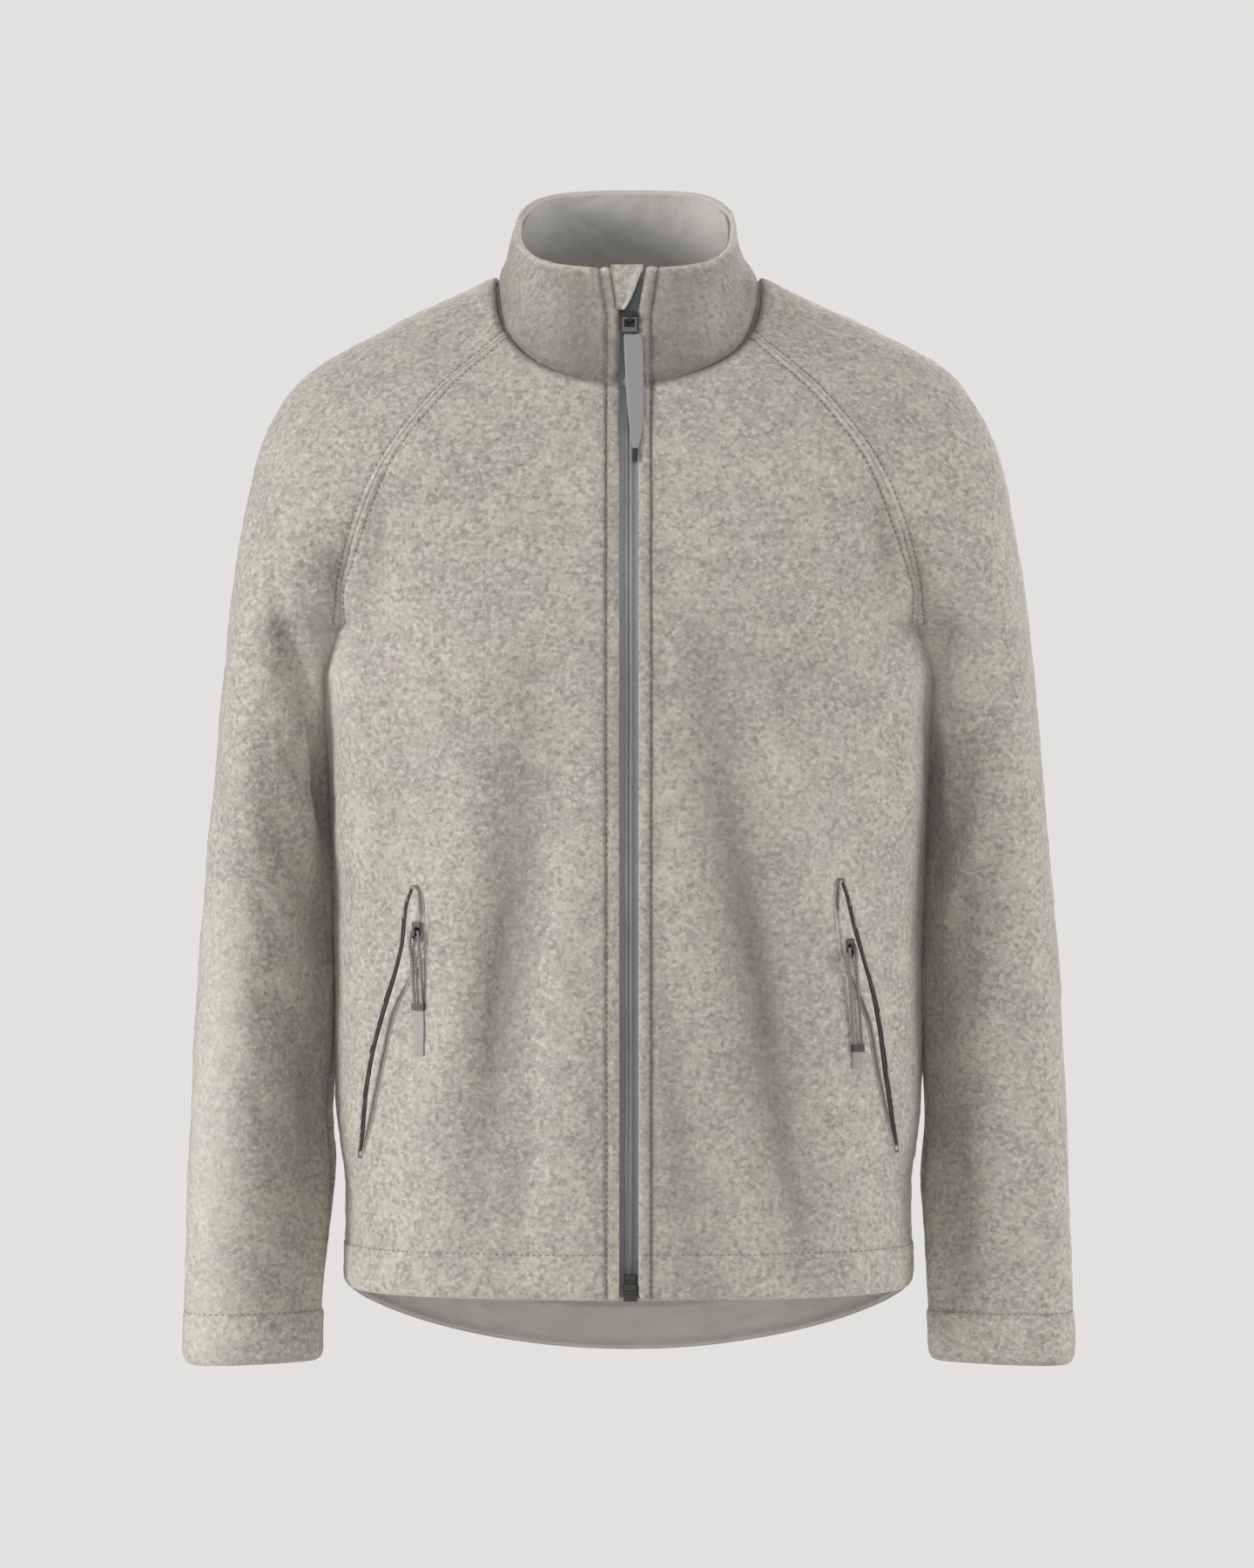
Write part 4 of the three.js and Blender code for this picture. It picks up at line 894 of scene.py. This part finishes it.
COLLAR_STEPS = np.concatenate([stations((0.05, 18), (0.95, 190), (1, 18))])
COLLAR_ROWS = np.maximum(stations((0.1, 9), (0.9, 34), (1, 10)), 0.002)
u, v = np.meshgrid(COLLAR_STEPS, COLLAR_ROWS)
base = collar_point(u, v)
normal = normals(collar_point(u, np.minimum(v, 0.97 + 0.01 * v)))
normal[0] = normal[1]
from_left, from_right = seam_distance(base)
from_zip = np.minimum(from_left, from_right)
from_foot, from_top = reach_along(base, 0)
lift = placket(from_zip) - 2.4 * bell(from_foot, COLLAR_TUCK, 3.4) + 0.8 * bell(from_foot, 11, 6) + nap(base + 90)
edges = soft_edge(from_zip, FLEECE), soft_edge(from_top, COLLAR_THICK)
outer, inner = wall_faces(base, normal, lift, COLLAR_THICK, *edges)
collar_grid = base, normal, outer
# Painted shade all over the collar, deeper along the zip's stitches, at the foot seam and in broad bands above the foot
# and beside the zip, and a painted highlight along the top edge.
shade_and_press = painted_shade_and_press(
    np.full_like(lift, 5.2), (0.8, from_zip, ZIP_STITCH, 1.8), (1, from_foot, COLLAR_TUCK, 3.6), (-1.1, from_top, 1, 4),
    (0.26, from_foot, 10, 22), (0.28, from_zip, 24, 18),
)
collar = shell("cloth_collar", outer, inner, shade_and_press=shade_and_press)
dress(collar, "garment", "fleece", "collar", materials=(fleece, jersey))

# The main zip: two woven tapes with a reversed coil, whose turns show through the tape as fine ribs beside the middle.
# Each tape is stitched behind its front's turned edge and runs from the hem into the collar.
TAPE_FOOT, TAPE_TOP = -676.0, 8.0
TAPE_WIDTH = 12.6
COIL_PITCH = 1.27
middle = np.concatenate([front_grids[1][0][:, 0], collar_grid[0][:, 0]])


def centre_y(z):
    """How far forward both fronts and the collar meet the zip, at each height."""
    return np.interp(z, middle[:, 2], middle[:, 1])


def zip_weave():
    """Woven polyester tape: mid grey, with painted shade that darkens it in the collar and towards the hem, fine ribs
    across it and a low satin gloss."""
    material, tree, surface = new_material("zip_weave")
    where = node(tree, "ShaderNodeTexCoord").outputs["Object"]
    height = node(tree, "ShaderNodeSeparateXYZ", [(0, where)]).outputs["Z"]
    ribs = node(
        tree, "ShaderNodeTexWave", [("Vector", where)],
        wave_type="BANDS", bands_direction="Z", in_Scale=250.0, in_Distortion=0.4,
    )
    # Painted shade by height: darker towards the hem and in the top few centimetres, in the collar.
    colour = dyed(tree, "#9fa2a4", (height, "#777577", -0.14, -0.66, 1), (height, "#66696b", -0.1, -0.03, 1))
    surfaced(surface, colour, ribs.outputs[1], (0.3, 0.0003), in_Roughness=0.62, in_IOR=1.5)
    return material


def wall(name, outer, inner, side=1, shade_and_press=None):
    """A closed wall between two grids, without a lining."""
    piece = shell(name, outer, inner, side, shade_and_press=shade_and_press)
    piece.data.polygons.foreach_set("material_index", np.zeros(len(piece.data.polygons), np.int32))
    return piece


weave = zip_weave()
x, z = np.meshgrid(
    np.array([0.25, 0.5, 0.9, 1.5, 2.1, 2.6, 3.2, 4.5, 6.5, 9.0, 12.2, TAPE_WIDTH]),
    np.linspace(TAPE_FOOT, TAPE_TOP, int((TAPE_TOP - TAPE_FOOT) / COIL_PITCH * 3)),
)
depth = 4.1 + 0.9 * np.clip((-636 - z) / 14, 0, 1)
ridge = 1.1 * np.clip((3.4 - x) / 1.2, 0, 1) * np.clip(x / 0.7, 0.3, 1)
rib = 0.16 * np.cos(2 * np.pi * z / COIL_PITCH) * bell(x, 1.7, 1.0)
y = centre_y(z) + depth
for word, side in SIDES:
    outer, inner = np.stack([x, y - ridge - rib, z], -1), np.stack([x, y + 1.0, z], -1)
    piece = wall("zip_tape_and_coil_" + word, outer, inner, side)
    dress(piece, "garment", "zip_tape", "zip_tape_" + word, materials=(weave,))

# The garage: a small folded flap of the fleece at the collar's top that covers the slider, with its fold to the right.
GARAGE = table(
    "at left right",
    [-13.5, -8.2, -3],
    [-8, -8.8, 0.4],
    [0, -9.8, 3.8],
    [9, -11.2, 7],
    [16, -12.4, 9.7],
    [18, -12.6, 9.7],
)
GARAGE_FOLD = table("at lift", [0, 1.2], [0.2, 1.3], [0.62, 0.4], [0.84, 1.7], [1, 0.6])
GARAGE_THICK = 2.2


def flat_piece(rows, across, up):
    """A flat piece's grid between its left and right edges: the share of the way across, x, z, and the distance to
    the nearest edge."""
    share, z = np.meshgrid(np.linspace(0, 1, across), np.linspace(rows["at"][0], rows["at"][-1], up))
    left, right = read(rows, "left", z), read(rows, "right", z)
    x = left + (right - left) * share
    ends = np.minimum(z - rows["at"][0], rows["at"][-1] - z)
    return share, x, z, np.minimum(np.minimum(x - left, right - x), ends)


share, x, z, edge = flat_piece(GARAGE, 36, 40)
y = centre_y(np.minimum(z, 16)) - 0.3 - read(GARAGE_FOLD, "lift", share) + np.clip((z - 15.5) / 2.5, 0, 1) * 1.2
half = GARAGE_THICK / 2 * soft_edge(edge, GARAGE_THICK)
front = np.stack([x, y + GARAGE_THICK / 2 - half, z], -1)
rear = np.stack([x, y + GARAGE_THICK / 2 + half, z], -1)
# Painted shade along the left edge, and a painted highlight on the fold at the right.
shade_and_press = 0.9 * bell(x - read(GARAGE, "left", z), 0.4, 1.2) - bell(share, 0.86, 0.12)
garage = wall("cloth_zip_garage", front, rear, shade_and_press=shade_and_press)
dress(garage, "garment", "fleece", "zip_garage", materials=(fleece,))

# The hard zip parts: cast zinc sliders, the ring that the main pull hangs on, and the box at the zip's foot, all
# enamelled dark grey, but for the ring, which is black nickel. Their edges are tumbled, so they catch the light as
# thin soft lines.
TUMBLED_MM = 0.28


def patterned(name, kind, pattern, first, second, relief=None, spread=(0, 1), press_and_shade=None, **finish):
    """A material whose colour runs from the first to the second with a noise or wave texture, over a spread of its
    values. relief is how strongly that shows as height, and its metres. The last colour is painted shade, which the
    points' painted shade values mix in."""
    material, tree, surface = new_material(name)
    where = node(tree, "ShaderNodeTexCoord").outputs["Object"]
    texture = node(tree, "ShaderNodeTex" + kind, [("Vector", where)], **pattern)
    value = texture.outputs[1 if kind == "Wave" else 0]
    layers = [(value, second, *spread, 1)]
    if press_and_shade:
        layers.append((node(tree, "ShaderNodeAttribute", attribute_name="shade_and_press").outputs["Fac"], press_and_shade, 0, 1, 1))
    colour = dyed(tree, first, *layers)
    surfaced(surface, colour, value if relief else None, relief, **finish)
    return material


# Baked enamel over cast zinc: nearly black, half glossy, with a faint orange peel.
enamel = patterned(
    "dark_enamel", "Noise", {"in_Scale": 900.0, "in_Detail": 2.0}, "#262421", "#34312d", (0.12, 0.0002),
    in_Roughness=0.45, in_IOR=1.5,
)
# Black nickel plate over steel wire, tumbled to a satin: a dark grey metal with soft broad highlights.
nickel = patterned(
    "black_nickel", "Noise", {"in_Scale": 600.0, "in_Detail": 3.0}, "#6f6f6d", "#8f8f8d",
    in_Metallic=0.85, in_Roughness=0.42,
)


def tumbled(name, source, body, slot, rounded, materials):
    """A small part: the solid's own faces, merged, with every sharp edge rounded a little."""
    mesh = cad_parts[source].data.copy()
    mesh.name = name
    mesh.materials.clear()
    shape = bmesh.new()
    shape.from_mesh(mesh)
    bmesh.ops.remove_doubles(shape, verts=shape.verts, dist=1e-6)
    bmesh.ops.dissolve_limit(shape, angle_limit=0.02, verts=shape.verts, edges=shape.edges)
    shape.to_mesh(mesh)
    shape.free()
    piece = bpy.data.objects.new(name, mesh)
    scene.collection.objects.link(piece)
    bevel = piece.modifiers.new("tumbled", "BEVEL")
    bevel.width = rounded * 0.001
    bevel.segments = 2
    bevel.limit_method = "ANGLE"
    bevel.angle_limit = np.radians(35)
    bevel.use_clamp_overlap = True
    return dress(piece, body, slot, source, materials=materials)


for name, source, body, paint in [
    ("main_slider", "zip_slider", "garment", enamel),
    ("main_pull_ring", "zip_pull_ring", "zip_pull", nickel),
    ("pocket_slider_cast_left", "pocket_slider_left", "garment", enamel),
    ("pocket_slider_cast_right", "pocket_slider_right", "garment", enamel),
]:
    tumbled(name, source, body, "zip_metal", TUMBLED_MM, (paint,))

# The foot box: a moulded stop that both tapes end in, in three steps: the pin's collar, the waist and the base.
FOOT_BOX = table(
    "at left right proud",
    [-678.5, -3.2, 5.4, 0.9],
    [-677.6, -3.7, 5.9, 1.5],
    [-674.4, -3.7, 5.9, 1.5],
    [-673.6, -3.1, 5.2, 0.7],
    [-671.6, -3.1, 5.2, 0.7],
    [-670.8, -3.7, 5.9, 1.7],
    [-667.2, -3.7, 5.9, 1.7],
    [-666.4, -2.4, 4.4, 0.8],
    [-664.6, -2.4, 4.4, 0.8],
    [-663.8, -2.9, 5, 1.4],
    [-660.6, -2.9, 5, 1.4],
    [-660, -2.5, 4.6, 0.9],
)
FOOT_BOX_FACE = -125.6
share, x, z, edge = flat_piece(FOOT_BOX, 22, 90)
proud = read(FOOT_BOX, "proud", z) + 0.3 * bell(x, 1.1, 1.4)
round_it = soft_edge(edge, 1.6)
front, rear = (np.stack([x, FOOT_BOX_FACE + out * round_it, z], -1) for out in (-proud, 1.6))
dress(wall("foot_box", front, rear), "garment", "zip_metal", "zip_box", materials=(enamel,))

# The main pull: a flat tab of stiff grey webbing, folded over the ring and bound at its dark tip.
TAB = table(
    "at x half thick",
    [-117.5, 4, 1.4, 1],
    [-116, 4, 2, 1.4],
    [-108, 4.5, 2.2, 1.4],
    [-105, 4.6, 2.7, 1.6],
    [-98, 4.8, 3.7, 1.7],
    [-88, 4.8, 5, 1.7],
    [-72, 4.3, 5.8, 1.7],
    [-60, 3.9, 6.1, 1.7],
    [-46, 3.4, 6.3, 1.7],
    [-33, 2.8, 6.2, 1.7],
    [-30.5, 2.6, 5.6, 1.2],
)
TAB_CLEAR = 0.8
TAB_FOOT, TAB_TOP = TAB["at"][0], TAB["at"][-1]
TAB_TIP = -108.0  # below here it is bound
# Tightly woven polyester webbing: grey, with fine ribs across it 1 mm apart and a dull gloss.
webbing = patterned(
    "pull_webbing", "Wave",
    dict(wave_type="BANDS", bands_direction="Z", in_Scale=310.0, in_Distortion=1.5, in_Detail=2.0),
    "#868988", "#949796", (0.3, 0.0003), in_Roughness=0.7,
)
share, z = np.meshgrid(np.linspace(-1, 1, 19), np.linspace(TAB_FOOT, TAB_TOP, 120))
half, thick = read(TAB, "half", z), read(TAB, "thick", z)
ahead = np.minimum(np.minimum(centre_y(z - 4), centre_y(z)), centre_y(z + 4)) - TAB_CLEAR
from_side = half * (1 - np.abs(share))
end = np.minimum(np.minimum(z - TAB_FOOT, TAB_TOP - z), from_side)
lens = thick / 2 * soft_edge(end, 1.4) + 0.12 * bell(from_side, 1.6, 0.7)
x = read(TAB, "x", z) + share * half
front = np.stack([x, ahead - thick / 2 - lens, z], -1)
rear = np.stack([x, ahead - thick / 2 + lens, z], -1)
tab = wall("main_pull_tab", front, rear)
tip = (z[:-1, :-1] < TAB_TIP).ravel()
paint = np.zeros(len(tab.data.polygons), np.int32)
paint[: len(tip)] = tip
paint[-len(tip) :] = tip
tab.data.polygons.foreach_set("material_index", paint)
dress(tab, "zip_pull", "pull_cord", "zip_pull_tab", materials=(webbing, enamel))

# The pocket zips: a slanted slit in each front between two soft light welts, with its dark coil closed in the slit.
# The outer welt is narrow, and the inner one widens below the slider and is stitched down along its inner edge.
RIGHT_POCKET = table(
    "at outer inner",
    [-587, 184, 181],
    [-568, 182.5, 174.5],
    [-542, 180, 169],
    [-517, 176, 163.5],
    [-487, 168, 156.5],
    [-459, 159.5, 143],
    [-437, 154.5, 136.5],
    [-418, 152.5, 137],
    [-406, 149, 138],
    [-401, 146.5, 141.5],
)
LEFT_POCKET = table(
    "at outer inner",
    [-583, 183.5, 180.5],
    [-550, 179, 171],
    [-522, 175, 165],
    [-497, 171.5, 160.5],
    [-472, 166.5, 151.5],
    [-449, 160, 142],
    [-431, 154.5, 139],
    [-413, 150, 137.5],
    [-401, 146.5, 138],
    [-396, 144, 140],
)
SLIT_DEEP = 3.0  # how far in from the band's outer edge the slit lies
SLIT_HALF = {"ends": 1.1, "middle": 1.8}  # half its width
POCKET_FOOT, POCKET_TOP = -620, -370  # both pockets lie between these heights


def on_front(side, x, z):
    """The points of a front's face at places in the front view, and the face's normals there: each lies on the plane
    that touches the nearest point of the grid."""
    _, normal, outer = front_grids[side]
    near = (outer[..., 2] < POCKET_TOP) & (outer[..., 2] > POCKET_FOOT)
    points, turned = outer[near], normal[near]
    flat = np.stack([x.ravel(), z.ravel()], -1)
    nearest = np.concatenate([
        ((part[:, None] - points[None][..., [0, 2]]) ** 2).sum(-1).argmin(1) for part in np.array_split(flat, 12)
    ])
    p, n = points[nearest], turned[nearest]
    y = p[:, 1] - (n[:, 0] * (flat[:, 0] - p[:, 0]) + n[:, 2] * (flat[:, 1] - p[:, 2])) / n[:, 1]
    found = np.stack([flat[:, 0], y, flat[:, 1]], -1)
    return found.reshape(*x.shape, 3), n.reshape(*x.shape, 3)


def tube(path, up, radius, sides=10, twist=0.0, bulge=0.0):
    """The points and faces of a closed round tube along a path. up is roughly square to the path at each point. A
    twisted cord has three strands, which bulge and wind once in each twist millimetres."""
    along = unit(np.gradient(path, axis=0))
    aside = unit(np.cross(along, up))
    over = np.cross(aside, along)
    turn = np.linspace(0, 2 * np.pi, sides + 1)[:-1]
    length = np.insert(np.cumsum(np.linalg.norm(np.diff(path, axis=0), axis=1)), 0, 0)
    wind = 2 * np.pi * length / twist if twist else np.zeros(len(path))
    end = np.minimum(length, length[-1] - length)
    size = radius * np.sqrt(1 - (1 - np.clip(end / radius, 0.06, 1)) ** 2)
    reach = size[:, None] * (1 + bulge * np.cos(3 * (turn[None] + wind[:, None])))
    ring = aside[:, None] * np.cos(turn)[None, :, None] + over[:, None] * np.sin(turn)[None, :, None]
    points = path[:, None] + ring * reach[..., None]
    index = np.arange(len(path) * sides).reshape(len(path), sides)
    beside = np.roll(index, -1, axis=1)
    faces = np.stack([index[:-1], beside[:-1], beside[1:], index[1:]], -1).reshape(-1, 4)
    fan = np.arange(1, sides - 1)
    first = np.stack([np.zeros_like(fan), fan + 1, fan, fan], -1)
    last = np.stack([np.zeros_like(fan), fan, fan + 1, fan + 1], -1) + index[-1, 0]
    return points.reshape(-1, 3), np.concatenate([faces, first, last])


def between(points, places, at):
    """The points of a line, known at places along it, at other places."""
    return np.stack([np.interp(at, places, points[:, k]) for k in range(3)], -1)


# The pocket's welts: the fleece's smooth side turned out, pale and even, with painted shade along their outer edge,
# at their ends and under their stitched line, where the pile is also a little flattened.
welt = patterned(
    "welt_knit", "Noise", {"in_Scale": 300.0, "in_Detail": 3.0}, "#a09b92", "#c4c1b5", (0.4, 0.0005),
    (0.35, 0.65), "#64605c", in_Roughness=0.88, in_Sheen_Weight=0.15,
)
# The pocket zip's coil and tape, dyed nearly black: nylon with a slight gloss on each turn.
coil = patterned("coil_nylon", "Noise", {"in_Scale": 700.0}, "#2d2a27", "#403c38", in_Roughness=0.5)
for (word, side), pocket in zip(SIDES, (LEFT_POCKET, RIGHT_POCKET)):
    foot, head = pocket["at"][0], pocket["at"][-1]
    share, z = np.meshgrid(np.linspace(0, 1, 34), np.linspace(foot, head, 150))
    outer_x, inner_x = read(pocket, "outer", z), read(pocket, "inner", z)
    width = outer_x - inner_x
    x = inner_x + width * share
    from_outer, from_inner = outer_x - x, x - inner_x
    slit = np.minimum(SLIT_DEEP, width * 0.42)
    end = np.minimum(z - foot, head - z)
    edge = np.minimum(np.minimum(from_outer, from_inner), end)
    soft = np.sqrt(1 - (1 - np.clip(edge / 1.5, 0, 1)) ** 2)
    belly = np.sin(np.pi * (z - foot) / (head - foot)).clip(0) ** 0.7
    gape = SLIT_HALF["ends"] + (SLIT_HALF["middle"] - SLIT_HALF["ends"]) * belly
    groove = 2.2 * np.exp(-(((from_outer - slit) / gape) ** 4)) * np.clip(end / 3, 0, 1)
    stitched = 1.3 * bell(from_inner, 1.8, 1.0) * np.clip((width - 6) / 4, 0, 1)
    face, normal = on_front(side, x, z)
    raised = 1.2 + 0.8 * np.clip((from_inner - 3) / 3, 0, 1)
    outer = face + normal * (0.2 + raised * soft - groove - stitched)[..., None]
    inner = face - normal * 0.6
    below = 0.4 + 0.65 * np.clip((-462 - z) / 14, 0, 1) + 0.6 * np.clip((z - head + 26) / 8, 0, 1)
    # Painted shade along the inner welt's stitching, stronger below the slider and near the top, along the outer edge
    # and at both ends.
    shade_and_press = painted_shade_and_press(
        np.full_like(x, -3), (1.4 * below, from_inner, 1.7, 1.5), (0.8, from_outer, 0, 0.8), (0.8, end, 0.6, 1.1),
    )
    piece = wall("pocket_welts_" + word, outer, inner, side, shade_and_press)
    dark = (np.abs(from_outer - slit) < gape * 1.05) & (end > 2)
    dark = (dark[:-1, :-1] & dark[1:, 1:]).ravel()
    paint = np.zeros(len(piece.data.polygons), np.int32)
    paint[: len(dark)] = dark
    piece.data.polygons.foreach_set("material_index", paint)
    dress(piece, "garment", "zip_tape", "pocket_zip_" + word, materials=(welt, coil))
    rows = np.arange(4, len(z) - 3)
    seat, up = on_front(side, (outer_x - slit)[rows, 0], z[rows, 0])
    known, steps = np.arange(len(rows)), np.linspace(0, len(rows) - 1, 700)
    seat, up = between(seat, known, steps), unit(between(up, known, steps))
    points, faces = tube(seat + up * 0.2, up, 0.95, 8, COIL_PITCH * 3, 0.18)
    points, faces = mirrored(points, side), faces if side > 0 else faces[:, ::-1]
    dress(solid_mesh("pocket_coil_" + word, points, faces), "garment", "zip_tape", materials=(coil,))

# The pocket pulls: a loop of round grey cord through the slider's bridge, held together by a dark moulded bead, with
# the ends below it sealed in a flat pale sleeve.
CORD_ROUNDING = 0.5
PULL_PARTS = {"left": (-507, -513), "right": (-479, -485)}  # where the bead begins and ends


# Braided polyester cord: mid grey, with strands that cross every 1.5 mm and a slight gloss.
braid = patterned(
    "braided_cord", "Wave",
    dict(wave_type="BANDS", bands_direction="DIAGONAL", in_Scale=330.0, in_Distortion=1.0),
    "#5c5956", "#8a8784", (0.5, 0.0003), in_Roughness=0.6,
)
# Shrunk polyester sleeve over the cord ends: pale grey-green, nearly smooth, faintly mottled.
sleeve_end = patterned(
    "sealed_sleeve", "Noise", {"in_Scale": 500.0, "in_Detail": 2.0}, "#8b8c83", "#9d9e95", in_Roughness=0.55,
)
for word, (top, foot) in PULL_PARTS.items():
    source = "pocket_pull_" + word
    piece = tumbled("corded_" + source, source, source, "pull_cord", CORD_ROUNDING, (braid, enamel, sleeve_end))
    centres = np.empty(len(piece.data.polygons) * 3, np.float32)
    piece.data.polygons.foreach_get("center", centres)
    height = centres.reshape(-1, 3)[:, 2] * 1000
    part = np.where(height > top, 0, np.where(height > foot, 1, 2))
    piece.data.polygons.foreach_set("material_index", part.astype(np.int32))

# The topstitching: two-thread seams in grey polyester, 3 mm stitches each 4 mm, sunk into the pile along the raglan
# seams, the zip edges, the hems and the cuffs.
STITCH_LENGTH, STITCH_PITCH, THREAD = 3.0, 4.4, 0.5


def stitches(path, up):
    """The points and faces of the stitches along a path: each is a thread's length, six-sided and pointed."""
    length = np.insert(np.cumsum(np.linalg.norm(np.diff(path, axis=0), axis=1)), 0, 0)
    at = np.arange(STITCH_PITCH / 2, length[-1] - STITCH_PITCH / 2, STITCH_PITCH)
    start, end = (between(path, length, at + reach) for reach in (-STITCH_LENGTH / 2, STITCH_LENGTH / 2))
    over = unit(between(up, length, at))
    aside = unit(np.cross(end - start, over))
    turn = np.linspace(0, 2 * np.pi, 7)[:-1]
    ring = aside[:, None] * np.cos(turn)[None, :, None] + over[:, None] * np.sin(turn)[None, :, None]
    waist = ((start + end) / 2)[:, None] + ring * THREAD + over[:, None] * 0.1
    points = np.concatenate([start[:, None], waist, end[:, None]], 1)
    a = np.arange(1, 7)
    b = np.roll(a, -1)
    fan = np.concatenate([np.stack([np.zeros(6, int), b, a], -1), np.stack([np.full(6, 7), a, b], -1)])
    faces = fan[None] + (np.arange(len(at)) * 8)[:, None, None]
    return points.reshape(-1, 3), faces.reshape(-1, 3)


def line_at(grid, last, wanted, rows=slice(None)):
    """The line on a grid's outer face at a distance from its first column, or from its last one, with one point for
    each of the rows, and the normals there."""
    base, normal, outer = grid
    distance = seam_distance(base)[last]
    columns = distance.shape[1]
    order = np.arange(columns)[::-1] if last else np.arange(columns)
    place = np.array([np.interp(wanted, row[order], order) for row in distance])
    low = np.clip(np.floor(place).astype(int), 0, columns - 2)
    part = (place - low)[:, None]
    each = np.arange(len(low))
    path, up = (face[each, low] * (1 - part) + face[each, low + 1] * part for face in (outer, normal))
    return path[rows], up[rows]


def row_at(grid, wanted):
    """The line on a grid's outer face at a distance up from its first row, and the normals there."""
    base, normal, outer = grid
    row = int(np.argmin(np.abs(np.median(reach_along(base, 0)[0], axis=1) - wanted)))
    return outer[row], normal[row]


# Spun polyester thread: grey, a little darker than the cloth, with a slight satin gloss.
thread = patterned("polyester_thread", "Noise", {"in_Scale": 900.0}, "#6c6761", "#87827b", in_Roughness=0.6)
body_yoke, sleeve_yoke = BODY_ROWS > 1.01, SLEEVE_ROWS > 1.01
seams = []
for side in (1, -1):
    front, sleeve = front_grids[side], sleeve_grids[side]
    for path, up in (
        line_at(front, False, ZIP_STITCH),
        line_at(front, True, RAGLAN_STITCH, body_yoke),
        row_at(front, BODY_TURN_UP),
        line_at(sleeve, False, RAGLAN_STITCH, sleeve_yoke),
        line_at(sleeve, True, RAGLAN_STITCH, sleeve_yoke),
        row_at(sleeve, CUFF_TURN_UP),
    ):
        seams.append(stitches(mirrored(path, side), mirrored(up, side)))
seams.extend(stitches(*line_at(back_grid, last, RAGLAN_STITCH, body_yoke)) for last in (False, True))
seams.append(stitches(*row_at(back_grid, BODY_TURN_UP)))
seams.extend(stitches(*line_at(collar_grid, last, ZIP_STITCH, slice(4, None))) for last in (False, True))
offsets = np.insert(np.cumsum([len(points) for points, _ in seams]), 0, 0)
points = np.concatenate([points for points, _ in seams])
faces = np.concatenate([faces + offset for (_, faces), offset in zip(seams, offsets)])
dress(solid_mesh("topstitching", points, faces), "garment", "fleece", materials=(thread,))
